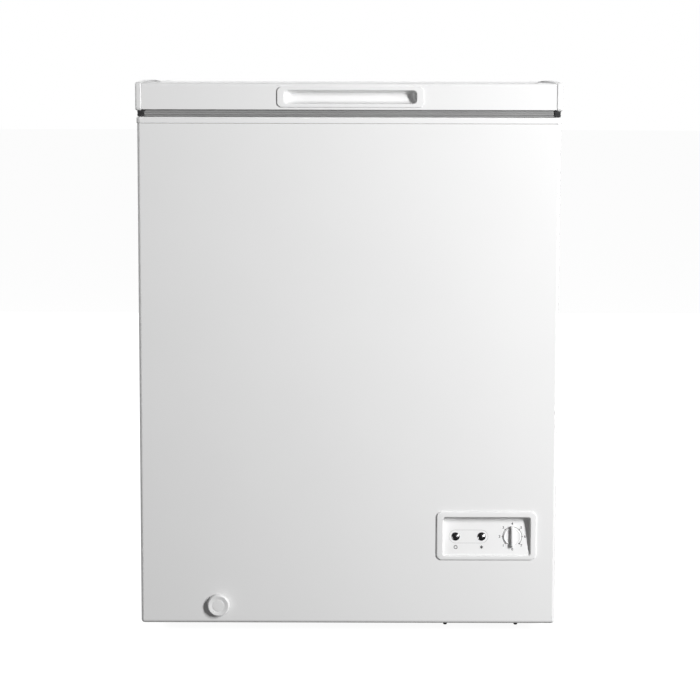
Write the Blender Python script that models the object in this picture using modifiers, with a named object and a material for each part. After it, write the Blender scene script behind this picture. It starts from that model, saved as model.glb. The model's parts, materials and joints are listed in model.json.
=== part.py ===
"""A small chest freezer, made of its separate pieces.

Metres, +Z up, the front faces -Y. The origin lies on the floor, under the middle of the whole freezer.
"""

import math

import bmesh
import bpy
from mathutils import Matrix, Vector

COLLECTION = "chest_freezer"

# Running gap between touching pieces, and a cutter's reach past a face.
GAP = 0.0003
REACH = 0.01

# Cabinet body.
SHEET = 0.001
BODY_HALF = 0.312
BODY_FRONT = -0.2735
BODY_REAR = 0.2615
BODY_BOTTOM = 0.018
CORNER_RADIUS = 0.004

# Heights of the closed lid's layers.
RIM_BOTTOM = 0.7705
RIM_TOP = 0.780
LID_BOTTOM = 0.791
LID_TOP = 0.830

# Cavity, with a step over the compressor at the right.
CAVITY_HALF = 0.261
CAVITY_FRONT = -0.2235
CAVITY_REAR = 0.2115
CAVITY_FLOOR = 0.073
STEP_X = 0.065
STEP_TOP = 0.300
CAVITY_CORNER = 0.012

# Space for the tubes on each side of the foam, and the foam round the compressor compartment.
TUBE_SPACE = 0.008
STEP_FOAM = 0.038
COMPARTMENT_X = STEP_X + SHEET + TUBE_SPACE + STEP_FOAM
COMPARTMENT_TOP = STEP_TOP - SHEET - TUBE_SPACE - STEP_FOAM

# Rim trim and the ledges that carry the basket.
RIM_PROUD = 0.002
RIM_LAP = 0.0015
LEDGE_WIDTH = 0.008
LEDGE_TOP = 0.7755

# Lid.
LID_HALF = 0.315
LID_FRONT = BODY_FRONT - 0.004
LID_REAR = BODY_REAR + 0.004
END_CAP_WIDTH = 0.009
END_CAP_RISE = 0.003
END_CAP_DROP = 0.001
LID_FLANGE_Z = LID_BOTTOM + 0.0005
PLASTIC_WALL = 0.0015
PAN_HALF = 0.240
PAN_FRONT = CAVITY_FRONT + 0.015
PAN_REAR = CAVITY_REAR - 0.015
PAN_BOTTOM = 0.765
GASKET_HALF = 0.303
GASKET_FRONT = LID_FRONT + 0.003
GASKET_REAR = LID_REAR - 0.003
GASKET_WIDTH = 0.022
BUMPER_WIDTH = 0.009
BUMPER_DEPTH = 0.020

# Scoop handle in the lid's front.
HANDLE_X = 0.002
BEZEL_HALF = 0.1085
BEZEL_BOTTOM = 0.794
BEZEL_TOP = 0.8245
BEZEL_PROUD = 0.0017
POCKET_HALF = 0.097
POCKET_BOTTOM = 0.800
POCKET_TOP = 0.8187
POCKET_DEPTH = 0.022
POCKET_WALL = 0.002

# Hinges.
HINGE_X = 0.200
HINGE_Y = 0.2755
HINGE_Z = 0.785
PIN_RADIUS = 0.003
BORE_RADIUS = PIN_RADIUS + GAP
EAR_RADIUS = 0.007
EAR_THICKNESS = 0.003
ARM_HALF = 0.018
BRACKET_HALF = 0.030
BRACKET_BOTTOM = 0.700
BRACKET_TOP = 0.7665
PLATE = 0.002
SCREW_Z = (0.712, 0.750)
SCREW_RADIUS = 0.0019

# Control panel, whose face slopes back towards its top.
PANEL_LEFT = 0.1333
PANEL_RIGHT = 0.2840
PANEL_BOTTOM = 0.1153
PANEL_TOP = 0.1897
PANEL_PROUD = 0.0037
PANEL_FRAME = 0.0055
RECESS_LEFT = 0.1435
RECESS_RIGHT = 0.2746
RECESS_BOTTOM = 0.1222
RECESS_TOP = 0.1806
FACE_BOTTOM_Y = BODY_FRONT - 0.001
FACE_TOP_Y = BODY_FRONT + 0.010
PANEL_BACK_Y = BODY_FRONT + 0.0175
FACE_TILT = math.atan2(FACE_TOP_Y - FACE_BOTTOM_Y, RECESS_TOP - RECESS_BOTTOM)
DIAL_X = 0.248
POWER_LAMP_X = 0.1624
RUN_LAMP_X = 0.2016
CONTROL_Z = 0.150
KNOB_RADIUS = 0.013
KNOB_DISC = 0.0015
KNOB_BAR = (0.0048, 0.032, 0.010)
SHAFT_RADIUS = 0.003
LAMP_RADIUS = 0.0063

# Drain.
DRAIN_X = -0.1959
DRAIN_Z = 0.0451
DRAIN_INLET_Y = -0.160
DRAIN_CAP_RADIUS = 0.017
DRAIN_CAP_FRONT = BODY_FRONT - 0.009
SPOUT_RADIUS = 0.009
SOCKET_RADIUS = 0.012
DRAIN_PIPE_RADIUS = 0.0075

# Compressor compartment.
COMPRESSOR_X = 0.199
COMPRESSOR_Y = 0.060
COMPRESSOR_FOOT_X = 0.053
COMPRESSOR_FOOT_Y = 0.080
TRAY_BOLT_X = (0.148, 0.2552)
TRAY_BOLT_Y = BODY_FRONT + 0.016
TRAY = 0.0015
GLAND_X = 0.150
GLAND_Z = 0.060
PIPE_RADIUS = 0.003
PIPE_X = 0.255
SUCTION_Y = 0.120
DISCHARGE_Y = 0.000

# Feet.
FOOT_RADIUS = 0.018
FOOT_X = 0.255
FOOT_Y = (BODY_FRONT + 0.105, BODY_REAR - 0.060)

# Basket at the left end of its travel.
BASKET_LEFT = -0.245
BASKET_WIDTH = 0.220
BASKET_FRONT = CAVITY_FRONT + 0.004
BASKET_REAR = CAVITY_REAR - 0.004
BASKET_BOTTOM = 0.560
BASKET_TOP = 0.755
BASKET_WALL = 0.003

BLACK = (0.02, 0.02, 0.022)
WHITE = (0.86, 0.87, 0.87)


def clear_scene():
    for old in list(bpy.data.objects):
        bpy.data.objects.remove(old)


def new_collection(name):
    group = bpy.data.collections.new(name)
    bpy.context.scene.collection.children.link(group)
    return group


def paint(piece, colour, roughness, metallic):
    """Gives a piece a Principled material of its own."""
    look = bpy.data.materials.new(piece.name)
    look.use_nodes = True
    shader = look.node_tree.nodes["Principled BSDF"]
    shader.inputs["Base Color"].default_value = (*colour, 1.0)
    shader.inputs["Roughness"].default_value = roughness
    shader.inputs["Metallic"].default_value = metallic
    piece.data.materials.clear()
    piece.data.materials.append(look)
    return piece


def steel(piece):
    return paint(piece, (0.62, 0.63, 0.64), 0.35, 1.0)


def white_paint(piece):
    return paint(piece, WHITE, 0.35, 0.0)


def white_plastic(piece):
    return paint(piece, WHITE, 0.45, 0.0)


def black_rubber(piece):
    return paint(piece, BLACK, 0.8, 0.0)


def copper(piece):
    return paint(piece, (0.72, 0.40, 0.26), 0.35, 1.0)


def foam(piece):
    return paint(piece, (0.85, 0.74, 0.42), 0.9, 0.0)


def add_piece(name, data):
    """Links a new object to the freezer's collection."""
    piece = bpy.data.objects.new(name, data)
    bpy.data.collections[COLLECTION].objects.link(piece)
    return piece


def as_helper(piece):
    """Moves a cutter, or a shape that is joined to another, out of the freezer."""
    bpy.data.collections[COLLECTION].objects.unlink(piece)
    bpy.data.collections["helpers"].objects.link(piece)
    piece.hide_render = True
    piece.display_type = "WIRE"
    return piece


def round_edges(piece, radius, segments=2):
    bevel = piece.modifiers.new("rounded edges", "BEVEL")
    bevel.width = radius
    bevel.segments = segments
    return piece


def combine(piece, operation, other):
    """Cuts another shape out of a piece, or joins it on."""
    boolean = piece.modifiers.new(other.name, "BOOLEAN")
    boolean.operation = operation
    boolean.solver = "EXACT"
    boolean.object = as_helper(other)
    return piece


def cut(piece, *others):
    for other in others:
        combine(piece, "DIFFERENCE", other)
    return piece


def join(piece, *others):
    for other in others:
        combine(piece, "UNION", other)
    return piece


def from_bmesh(name, work):
    mesh = bpy.data.meshes.new(name)
    work.to_mesh(mesh)
    work.free()
    return add_piece(name, mesh)


def block(name, low, high):
    """A box between its lowest and highest corners."""
    size = [end - start for start, end in zip(low, high)]
    work = bmesh.new()
    bmesh.ops.create_cube(work, size=1.0, matrix=Matrix.Diagonal((*size, 1.0)))
    piece = from_bmesh(name, work)
    piece.location = [(start + end) / 2 for start, end in zip(low, high)]
    return piece


def aim(piece, centre, axis):
    """Moves a piece to centre and points its own Z along axis."""
    piece.location = centre
    piece.rotation_euler = Vector(axis).to_track_quat("Z", "Y").to_euler()
    return piece


def rod(name, radius, centre, axis, start, end, sides=24):
    """A cylinder along axis, from start to end as measured from centre."""
    work = bmesh.new()
    middle = Matrix.Translation((0, 0, (start + end) / 2))
    bmesh.ops.create_cone(work, cap_ends=True, segments=sides, radius1=radius, radius2=radius,
                          depth=end - start, matrix=middle)
    return aim(from_bmesh(name, work), centre, axis)


def turned(name, profile, centre, axis, ring=False, steps=24):
    """A turned shape: profile holds (radius, height) pairs down the outer side, and up the bore of a ring."""
    mesh = bpy.data.meshes.new(name)
    count = len(profile)
    edges = [(i, i + 1) for i in range(count - 1)]
    if ring:
        edges.append((count - 1, 0))
    mesh.from_pydata([(radius, 0, height) for radius, height in profile], edges, [])
    piece = add_piece(name, mesh)
    screw = piece.modifiers.new("turned", "SCREW")
    screw.steps = steps
    screw.render_steps = steps
    screw.use_merge_vertices = True
    screw.merge_threshold = 0.00002
    return aim(piece, centre, axis)


def to_mesh(piece):
    """Replaces a curve with its mesh, caps welded and flat faces whole, so that it can be cut."""
    bpy.context.view_layer.update()
    graph = bpy.context.evaluated_depsgraph_get()
    mesh = bpy.data.meshes.new_from_object(piece.evaluated_get(graph))
    work = bmesh.new()
    work.from_mesh(mesh)
    bmesh.ops.remove_doubles(work, verts=work.verts, dist=0.00002)
    bmesh.ops.dissolve_limit(work, angle_limit=0.001, verts=work.verts, edges=work.edges)
    work.to_mesh(mesh)
    work.free()
    name = piece.name
    place = piece.matrix_world.copy()
    bpy.data.objects.remove(piece)
    solid = add_piece(name, mesh)
    solid.matrix_world = place
    return solid


def prism(name, outline, across, low, high):
    """An outline of (X, Z) or (Y, Z) points, extruded from low to high across it, along Y or X."""
    curve = bpy.data.curves.new(name, "CURVE")
    curve.dimensions = "2D"
    curve.fill_mode = "BOTH"
    curve.extrude = (high - low) / 2
    spline = curve.splines.new("POLY")
    spline.points.add(len(outline) - 1)
    for point, (u, v) in zip(spline.points, outline):
        point.co = (u, v, 0, 1)
    spline.use_cyclic_u = True
    piece = add_piece(name, curve)
    middle = (low + high) / 2
    if across == "X":
        piece.matrix_world = Matrix(((0, 0, 1, middle), (1, 0, 0, 0), (0, 1, 0, 0), (0, 0, 0, 1)))
    else:
        piece.matrix_world = Matrix(((1, 0, 0, 0), (0, 0, -1, middle), (0, 1, 0, 0), (0, 0, 0, 1)))
    return to_mesh(piece)


def tube(name, points, radius):
    """A round tube or wire along a path."""
    curve = bpy.data.curves.new(name, "CURVE")
    curve.dimensions = "3D"
    curve.bevel_depth = radius
    curve.bevel_resolution = 2
    curve.use_fill_caps = True
    spline = curve.splines.new("POLY")
    spline.points.add(len(points) - 1)
    for point, place in zip(spline.points, points):
        point.co = (*place, 1)
    return add_piece(name, curve)


def rounded_path(corners, radius, steps=4):
    """A path through corners, each inner corner replaced by a curve of about that radius."""
    path = [Vector(corners[0])]
    for before, corner, after in zip(corners, corners[1:], corners[2:]):
        corner = Vector(corner)
        start = corner + (Vector(before) - corner).normalized() * radius
        end = corner + (Vector(after) - corner).normalized() * radius
        for step in range(steps + 1):
            t = step / steps
            path.append(start * (1 - t) ** 2 + corner * 2 * t * (1 - t) + end * t ** 2)
    path.append(Vector(corners[-1]))
    return path


def wound_path(half, front, rear, bottom, top, turns, radius, steps=3):
    """Turns of tube round a box with rounded corners, climbing evenly from bottom to top."""
    centres = ((half, front, -1, 1), (half, rear, 0, -1), (-half, rear, 1, -1), (-half, front, 2, 1))
    loop = []
    for x, y, quarter, inward in centres:
        centre = Vector((x - math.copysign(radius, x), y + inward * radius))
        for step in range(steps + 1):
            angle = (quarter + step / steps) * math.pi / 2
            loop.append(centre + Vector((math.cos(angle), math.sin(angle))) * radius)
    count = len(loop) * turns
    return [(*loop[i % len(loop)], bottom + (top - bottom) * i / (count - 1)) for i in range(count)]


def slots(name, low, high, count, pitch):
    """Equal box cutters, each pitch above the one before."""
    size = [end - start for start, end in zip(low, high)]
    work = bmesh.new()
    for index in range(count):
        centre = Vector([(start + end) / 2 for start, end in zip(low, high)]) + Vector((0, 0, index * pitch))
        place = Matrix.Translation(centre) @ Matrix.Diagonal((*size, 1.0))
        bmesh.ops.create_cube(work, size=1.0, matrix=place)
    return from_bmesh(name, work)


def round_along(work, axis, radius, segments=4):
    """Rounds a box's whole edges that run along one axis."""
    along = [
        edge for edge in work.edges
        if len(edge.link_faces) == 2
        and abs((edge.verts[0].co - edge.verts[1].co).normalized().dot(Vector(axis))) > 0.9
    ]
    bmesh.ops.bevel(work, geom=along, offset=radius, segments=segments, profile=0.5, affect="EDGES")


def plate(name, low, high, radius):
    """A flat plate with round corners, seen from above."""
    size = [end - start for start, end in zip(low, high)]
    work = bmesh.new()
    bmesh.ops.create_cube(work, size=1.0, matrix=Matrix.Diagonal((*size, 1.0)))
    round_along(work, (0, 0, 1), radius)
    piece = from_bmesh(name, work)
    piece.location = [(start + end) / 2 for start, end in zip(low, high)]
    return piece


def bent_sheet(name, low, high, open_normals, edge_axis, radius):
    """Sheet metal folded round a box, open on the sides named by their normals."""
    size = [end - start for start, end in zip(low, high)]
    work = bmesh.new()
    bmesh.ops.create_cube(work, size=1.0, matrix=Matrix.Diagonal((*size, 1.0)))
    gone = [face for face in work.faces if any(face.normal.dot(Vector(n)) > 0.9 for n in open_normals)]
    bmesh.ops.delete(work, geom=gone, context="FACES")
    round_along(work, edge_axis, radius)
    piece = from_bmesh(name, work)
    piece.location = [(start + end) / 2 for start, end in zip(low, high)]
    solid = piece.modifiers.new("sheet", "SOLIDIFY")
    solid.thickness = SHEET
    solid.offset = -1.0
    solid.use_even_offset = True
    return piece


def face_y(z):
    """How far back the control panel's sloping face lies at a height."""
    share = (z - RECESS_BOTTOM) / (RECESS_TOP - RECESS_BOTTOM)
    return FACE_BOTTOM_Y + share * (FACE_TOP_Y - FACE_BOTTOM_Y)


def face_normal():
    return Vector((0, -math.cos(FACE_TILT), math.sin(FACE_TILT)))


def on_face(x):
    return Vector((x, face_y(CONTROL_Z), CONTROL_Z))


def stepped_outline(grow, top):
    """The cavity's section across its width, grown outwards on every side."""
    left = -CAVITY_HALF - grow
    floor = CAVITY_FLOOR - grow
    step = STEP_TOP - grow
    return [
        (left, top), (left, floor), (STEP_X + grow, floor),
        (STEP_X + grow, step), (CAVITY_HALF + grow, step), (CAVITY_HALF + grow, top),
    ]


def stepped_tub(name, grow, top):
    tub = prism(name, stepped_outline(grow, top), "Y", CAVITY_FRONT - grow, CAVITY_REAR + grow)
    return round_edges(tub, CAVITY_CORNER + grow, 3)


def make_outer_cabinet():
    low = (-BODY_HALF, BODY_FRONT, BODY_BOTTOM)
    high = (BODY_HALF, BODY_REAR, RIM_BOTTOM - GAP)
    open_sides = ((0, 0, 1), (0, 0, -1), (0, 1, 0))
    wrap = bent_sheet("outer_cabinet", low, high, open_sides, (0, 0, 1), CORNER_RADIUS)
    window = block("panel window", (PANEL_LEFT + PANEL_FRAME - GAP, BODY_FRONT - REACH,
                                    PANEL_BOTTOM + PANEL_FRAME - GAP),
                   (PANEL_RIGHT - PANEL_FRAME + GAP, BODY_FRONT + REACH, PANEL_TOP - PANEL_FRAME + GAP))
    drain_hole = rod("drain hole", SOCKET_RADIUS + GAP, (DRAIN_X, BODY_FRONT, DRAIN_Z), (0, 1, 0),
                     -REACH, REACH, 32)
    vent = block("vent window", (BODY_HALF - REACH, -0.060, 0.060), (BODY_HALF + REACH, 0.160, 0.220))
    return white_paint(cut(wrap, window, drain_hole, vent))


def screw_places(*hinges):
    """The middle of each bracket screw's hole on the cabinet's rear, for hinges at these X places."""
    return [(x, BODY_REAR, z) for x in hinges for z in SCREW_Z]


def make_rear_panel():
    panel = block("rear_panel", (-BODY_HALF + SHEET + GAP, BODY_REAR - SHEET, BODY_BOTTOM),
                  (BODY_HALF - SHEET - GAP, BODY_REAR, RIM_BOTTOM - GAP))
    notch = block("cover notch", (COMPARTMENT_X + SHEET, BODY_REAR - REACH, BODY_BOTTOM - REACH),
                  (BODY_HALF + REACH, BODY_REAR + REACH, COMPARTMENT_TOP))
    cut(panel, notch)
    for place in screw_places(-HINGE_X, HINGE_X):
        cut(panel, rod("rear screw hole", SCREW_RADIUS + GAP, place, (0, 1, 0), -REACH, REACH, 16))
    return white_paint(panel)


def make_base_plate():
    low = (-BODY_HALF + SHEET + GAP, BODY_FRONT + SHEET + GAP, BODY_BOTTOM)
    high = (COMPARTMENT_X, BODY_REAR - SHEET - GAP, BODY_BOTTOM + SHEET)
    return steel(plate("base_plate", low, high, CORNER_RADIUS))


def drain_path(extra=0.0):
    """From the outlet in the front back to the inlet under the cavity floor, extended at both ends."""
    corners = [
        (DRAIN_X, BODY_FRONT + 0.0288 - extra, DRAIN_Z),
        (DRAIN_X, DRAIN_INLET_Y, DRAIN_Z),
        (DRAIN_X, DRAIN_INLET_Y, CAVITY_FLOOR - SHEET - GAP + extra),
    ]
    return rounded_path(corners, 0.012)


def make_foam():
    inset = SHEET + TUBE_SPACE
    body = block("foam_insulation", (-BODY_HALF + inset, BODY_FRONT + inset, BODY_BOTTOM + SHEET + GAP),
                 (BODY_HALF - inset, BODY_REAR - inset, RIM_BOTTOM - GAP))
    compartment = block("compartment space", (COMPARTMENT_X, BODY_FRONT, 0),
                        (BODY_HALF, BODY_REAR, COMPARTMENT_TOP))
    socket_space = rod("socket space", SOCKET_RADIUS + 0.0005, (DRAIN_X, BODY_FRONT, DRAIN_Z), (0, 1, 0),
                       0, 0.0285)
    pipe_space = to_mesh(tube("drain pipe space", drain_path(REACH), DRAIN_PIPE_RADIUS + 0.001))
    cut(body, stepped_tub("cavity space", inset, RIM_TOP + REACH), compartment)
    cut(body, socket_space, pipe_space)
    for y in (SUCTION_Y, DISCHARGE_Y):
        cut(body, rod("pipe space", PIPE_RADIUS + 0.001, (PIPE_X, y, COMPARTMENT_TOP), (0, 0, 1),
                      -REACH, STEP_FOAM + REACH, 12))
    return foam(body)


def make_inner_liner():
    liner = stepped_tub("inner_liner", SHEET, RIM_TOP + REACH)
    hollow = stepped_tub("cavity", 0.0, RIM_TOP + 2 * REACH)
    above = block("above the liner", (-LID_HALF, LID_FRONT, RIM_BOTTOM - GAP), (LID_HALF, LID_REAR, LID_TOP))
    hole = rod("liner drain hole", 0.0063, (DRAIN_X, DRAIN_INLET_Y, CAVITY_FLOOR), (0, 0, 1), -REACH, REACH)
    return paint(cut(liner, hollow, above, hole), (0.80, 0.81, 0.82), 0.4, 0.3)


def make_rim_trim():
    rim = block("top_rim_trim", (-BODY_HALF - RIM_PROUD, BODY_FRONT - RIM_PROUD, RIM_BOTTOM),
                (BODY_HALF + RIM_PROUD, BODY_REAR + RIM_PROUD, RIM_TOP))
    round_edges(rim, 0.0015)
    half = CAVITY_HALF - RIM_LAP
    mouth = block("mouth", (-half, CAVITY_FRONT + RIM_LAP, RIM_BOTTOM - REACH),
                  (half, CAVITY_REAR - RIM_LAP, RIM_TOP + REACH))
    ledges = block("basket ledges", (-half, CAVITY_FRONT + RIM_LAP - LEDGE_WIDTH, LEDGE_TOP),
                   (half, CAVITY_REAR - RIM_LAP + LEDGE_WIDTH, RIM_TOP + REACH))
    return white_plastic(cut(rim, mouth, ledges))


def make_compartment_panel():
    front = BODY_FRONT + CORNER_RADIUS
    rear = BODY_REAR - SHEET - GAP
    left = COMPARTMENT_X + GAP
    outline = [
        (left, BODY_BOTTOM + TRAY + GAP), (left + SHEET, BODY_BOTTOM + TRAY + GAP),
        (left + SHEET, COMPARTMENT_TOP - GAP - SHEET), (BODY_HALF - SHEET - GAP, COMPARTMENT_TOP - GAP - SHEET),
        (BODY_HALF - SHEET - GAP, COMPARTMENT_TOP - GAP), (left, COMPARTMENT_TOP - GAP),
    ]
    panel = prism("compartment_panel", outline, "Y", front, rear)
    for y in (SUCTION_Y, DISCHARGE_Y):
        cut(panel, rod("panel pipe hole", PIPE_RADIUS + 0.001, (PIPE_X, y, COMPARTMENT_TOP), (0, 0, 1),
                       -REACH, REACH, 12))
    return steel(panel)


def foot_places():
    """The middle of each compressor foot, seen from above."""
    places = []
    for x in (-COMPRESSOR_FOOT_X, COMPRESSOR_FOOT_X):
        for y in (-COMPRESSOR_FOOT_Y, COMPRESSOR_FOOT_Y):
            places.append((COMPRESSOR_X + x, COMPRESSOR_Y + y))
    return places


def make_compressor_tray():
    low = (COMPARTMENT_X + GAP, BODY_FRONT + SHEET + GAP, BODY_BOTTOM)
    high = (BODY_HALF - SHEET - GAP, BODY_REAR - SHEET - GAP, BODY_BOTTOM + TRAY)
    tray = plate("compressor_tray", low, high, CORNER_RADIUS)
    for x in TRAY_BOLT_X:
        cut(tray, rod("tray bolt hole", 0.0033, (x, TRAY_BOLT_Y, BODY_BOTTOM), (0, 0, 1), -REACH, REACH, 16))
    return steel(tray)


def make_tray_bolts():
    for name, x in zip(("tray_bolt_left", "tray_bolt_right"), TRAY_BOLT_X):
        profile = [(0, 0.010), (0.003, 0.010), (0.003, -GAP), (0.004, -GAP), (0.0036, -0.0065), (0, -0.0065)]
        black_rubber(turned(name, profile, (x, TRAY_BOLT_Y, BODY_BOTTOM), (0, 0, 1), steps=6))


def make_compressor():
    seat = BODY_BOTTOM + TRAY + 0.0145
    profile = [
        (0, 0.172), (0.020, 0.170), (0.040, 0.161), (0.054, 0.145), (0.060, 0.125), (0.060, 0.075),
        (0.064, 0.072), (0.064, 0.062), (0.058, 0.058), (0.055, 0.030), (0.044, 0.014), (0.025, 0.004),
        (0.025, -0.001), (0, -0.001),
    ]
    shell = turned("compressor", profile, (COMPRESSOR_X, COMPRESSOR_Y, seat + 0.003), (0, 0, 1))
    half = (COMPRESSOR_FOOT_X + 0.014, COMPRESSOR_FOOT_Y + 0.014)
    plate = block("compressor foot plate", (COMPRESSOR_X - half[0], COMPRESSOR_Y - half[1], seat),
                  (COMPRESSOR_X + half[0], COMPRESSOR_Y + half[1], seat + 0.003))
    join(shell, plate)
    for x, y in foot_places():
        cut(shell, rod("grommet hole", 0.0065, (x, y, seat), (0, 0, 1), -REACH, REACH))
    return paint(shell, (0.03, 0.03, 0.032), 0.45, 0.0)


def make_grommets():
    profile = [
        (0.009, 0.022), (0.009, 0.0183), (0.006, 0.0180), (0.006, 0.0142), (0.010, 0.0139),
        (0.011, 0.0), (0.0035, 0.0), (0.0035, 0.022),
    ]
    for index, (x, y) in enumerate(foot_places(), 1):
        place = (x, y, BODY_BOTTOM + TRAY + GAP)
        black_rubber(turned(f"compressor_grommet_{index}", profile, place, (0, 0, 1), ring=True, steps=20))


def make_relay_box():
    front = COMPRESSOR_Y - 0.0645
    low = (COMPRESSOR_X - 0.022, front - 0.030, 0.085)
    box = block("relay_box", low, (COMPRESSOR_X + 0.022, front, 0.140))
    return paint(round_edges(box, 0.003), BLACK, 0.5, 0.0)


def make_pipes():
    """The two pipes that rise from the compressor through the foam, and the drier in the second one."""
    wall = COMPRESSOR_X + 0.0643
    top = COMPARTMENT_TOP + STEP_FOAM + 0.003
    for name, y in (("suction_pipe", SUCTION_Y), ("discharge_pipe", DISCHARGE_Y)):
        toward = COMPRESSOR_Y + math.copysign(0.018, y - COMPRESSOR_Y)
        corners = [(wall, toward, 0.110), (0.280, toward, 0.110), (0.280, toward, 0.200),
                   (PIPE_X, y, 0.225), (PIPE_X, y, top)]
        copper(tube(name, rounded_path(corners, 0.010), PIPE_RADIUS))
    profile = [
        (0, 0.050), (0.003, 0.050), (0.003, 0.040), (0.009, 0.032), (0.009, -0.032),
        (0.003, -0.040), (0.003, -0.050), (0, -0.050),
    ]
    copper(turned("filter_drier", profile, (0.140, -0.120, 0.160), (0, 0.35, 1), steps=20))


def make_coils():
    near = TUBE_SPACE / 2
    half = CAVITY_HALF + SHEET + near
    cold = wound_path(half, CAVITY_FRONT - SHEET - near, CAVITY_REAR + SHEET + near, 0.330, 0.735, 6, 0.018)
    paint(tube("evaporator_coil", cold, PIPE_RADIUS), (0.8, 0.8, 0.82), 0.35, 1.0)
    half = BODY_HALF - SHEET - near
    warm = wound_path(half, BODY_FRONT + SHEET + near, BODY_REAR - SHEET - near, 0.330, 0.690, 4, 0.005)
    steel(tube("condenser_coil", warm, 0.0024))


def make_control_bezel():
    back = BODY_FRONT - GAP
    frame = block("control_bezel", (PANEL_LEFT, BODY_FRONT - PANEL_PROUD - GAP, PANEL_BOTTOM),
                  (PANEL_RIGHT, back, PANEL_TOP))
    round_edges(frame, 0.0012)
    box = block("bezel box", (PANEL_LEFT + PANEL_FRAME, back - 0.001, PANEL_BOTTOM + PANEL_FRAME),
                (PANEL_RIGHT - PANEL_FRAME, PANEL_BACK_Y, PANEL_TOP - PANEL_FRAME))
    front = BODY_FRONT - REACH
    recess = prism("recess", [(front, RECESS_BOTTOM), (FACE_BOTTOM_Y, RECESS_BOTTOM),
                              (FACE_TOP_Y, RECESS_TOP), (front, RECESS_TOP)], "X", RECESS_LEFT, RECESS_RIGHT)
    inner = 0.0015
    wall = 0.002
    low, high = RECESS_BOTTOM + inner, RECESS_TOP - inner
    hollow = prism("bezel hollow", [(face_y(low) + wall, low), (PANEL_BACK_Y + REACH, low),
                                    (PANEL_BACK_Y + REACH, high), (face_y(high) + wall, high)],
                   "X", RECESS_LEFT + inner, RECESS_RIGHT - inner)
    cut(join(frame, box), recess, hollow)
    for x, radius in ((POWER_LAMP_X, 0.0053), (RUN_LAMP_X, 0.0053), (DIAL_X, SHAFT_RADIUS + 0.0005)):
        cut(frame, rod("face hole", radius, on_face(x), face_normal(), -REACH, REACH))
    return white_plastic(frame)


def make_thermostat():
    wall = 0.002 + GAP
    depth = 0.026
    half = 0.018
    low = (-half, -half, -wall - depth)
    body = block("thermostat", low, (half, half, -wall))
    aim(body, on_face(DIAL_X) + face_normal() * (-wall - depth / 2), face_normal())
    bore = rod("thermostat bore", SHAFT_RADIUS + GAP, on_face(DIAL_X), face_normal(), -0.0105, 0)
    return paint(cut(body, bore), (0.7, 0.7, 0.68), 0.5, 0.0)


def make_knob():
    base = on_face(DIAL_X)
    normal = face_normal()
    knob = rod("thermostat_knob", KNOB_RADIUS, base, normal, GAP, GAP + KNOB_DISC, 40)
    width, length, height = KNOB_BAR
    bar = block("knob bar", (-width / 2, -length / 2, -height / 2), (width / 2, length / 2, height / 2))
    aim(round_edges(bar, 0.0015), base + normal * (GAP + height / 2), normal)
    join(knob, bar)
    shaft = rod("thermostat_shaft", SHAFT_RADIUS, base, normal, -0.010, 0)
    return white_plastic(knob), steel(shaft)


def make_lamps():
    profile = [
        (0, 0.0028), (0.0030, 0.0025), (0.0050, 0.0017), (LAMP_RADIUS, 0.0006), (LAMP_RADIUS, GAP),
        (0.0050, GAP), (0.0050, -0.014), (0, -0.014),
    ]
    for name, x in (("power_lamp", POWER_LAMP_X), ("run_lamp", RUN_LAMP_X)):
        paint(turned(name, profile, on_face(x), face_normal()), (0.01, 0.012, 0.012), 0.08, 0.0)


def make_drain():
    centre = (DRAIN_X, BODY_FRONT, DRAIN_Z)
    outward = (0, -1, 0)
    flange = 0.0018
    socket = [
        (0.0145, flange), (0.0145, GAP), (SOCKET_RADIUS, GAP), (SOCKET_RADIUS, -0.0215),
        (SPOUT_RADIUS + GAP, -0.0215), (SPOUT_RADIUS + GAP, flange),
    ]
    white_plastic(turned("drain_socket", socket, centre, outward, ring=True, steps=32))
    spout = [(SPOUT_RADIUS, flange), (SPOUT_RADIUS, -0.0285), (0.0065, -0.0285), (0.0065, flange)]
    white_plastic(turned("drain_spout", spout, centre, outward, ring=True, steps=32))
    front = BODY_FRONT - DRAIN_CAP_FRONT
    radius = DRAIN_CAP_RADIUS
    cap = [
        (0, front - 0.0015), (0.0100, front - 0.0015), (0.0104, front - 0.0003), (radius - 0.0015, front),
        (radius, front - 0.0015), (radius, flange + GAP), (0, flange + GAP),
    ]
    white_plastic(turned("drain_cap", cap, centre, outward, steps=40))
    pipe = to_mesh(tube("drain_tube", drain_path(), DRAIN_PIPE_RADIUS))
    bore = to_mesh(tube("drain bore", drain_path(REACH), DRAIN_PIPE_RADIUS - 0.0018))
    paint(cut(pipe, bore), (0.8, 0.8, 0.8), 0.5, 0.0)


def make_drain_plug():
    floor = CAVITY_FLOOR
    profile = [
        (0, 0.012), (0.0035, 0.012), (0.0042, 0.0108), (0.0038, 0.0045), (0.0105, 0.0040), (0.011, 0.0030),
        (0.011, GAP), (0.0048, GAP), (0.0044, -0.010), (0, -0.010),
    ]
    return black_rubber(turned("inner_drain_plug", profile, (DRAIN_X, DRAIN_INLET_Y, floor), (0, 0, 1)))


def make_compressor_cover():
    cover = block("compressor_cover", (COMPARTMENT_X + SHEET + GAP, BODY_REAR - SHEET, BODY_BOTTOM + GAP),
                  (BODY_HALF - SHEET - 2 * GAP, BODY_REAR + 0.0005, COMPARTMENT_TOP - GAP))
    louvres = slots("cover louvres", (0.160, BODY_REAR - REACH, 0.100), (0.270, BODY_REAR + REACH, 0.105), 9, 0.015)
    gland_hole = rod("gland hole", 0.0083, (GLAND_X, BODY_REAR, GLAND_Z), (0, 1, 0), -REACH, REACH)
    return steel(cut(cover, louvres, gland_hole))


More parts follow.
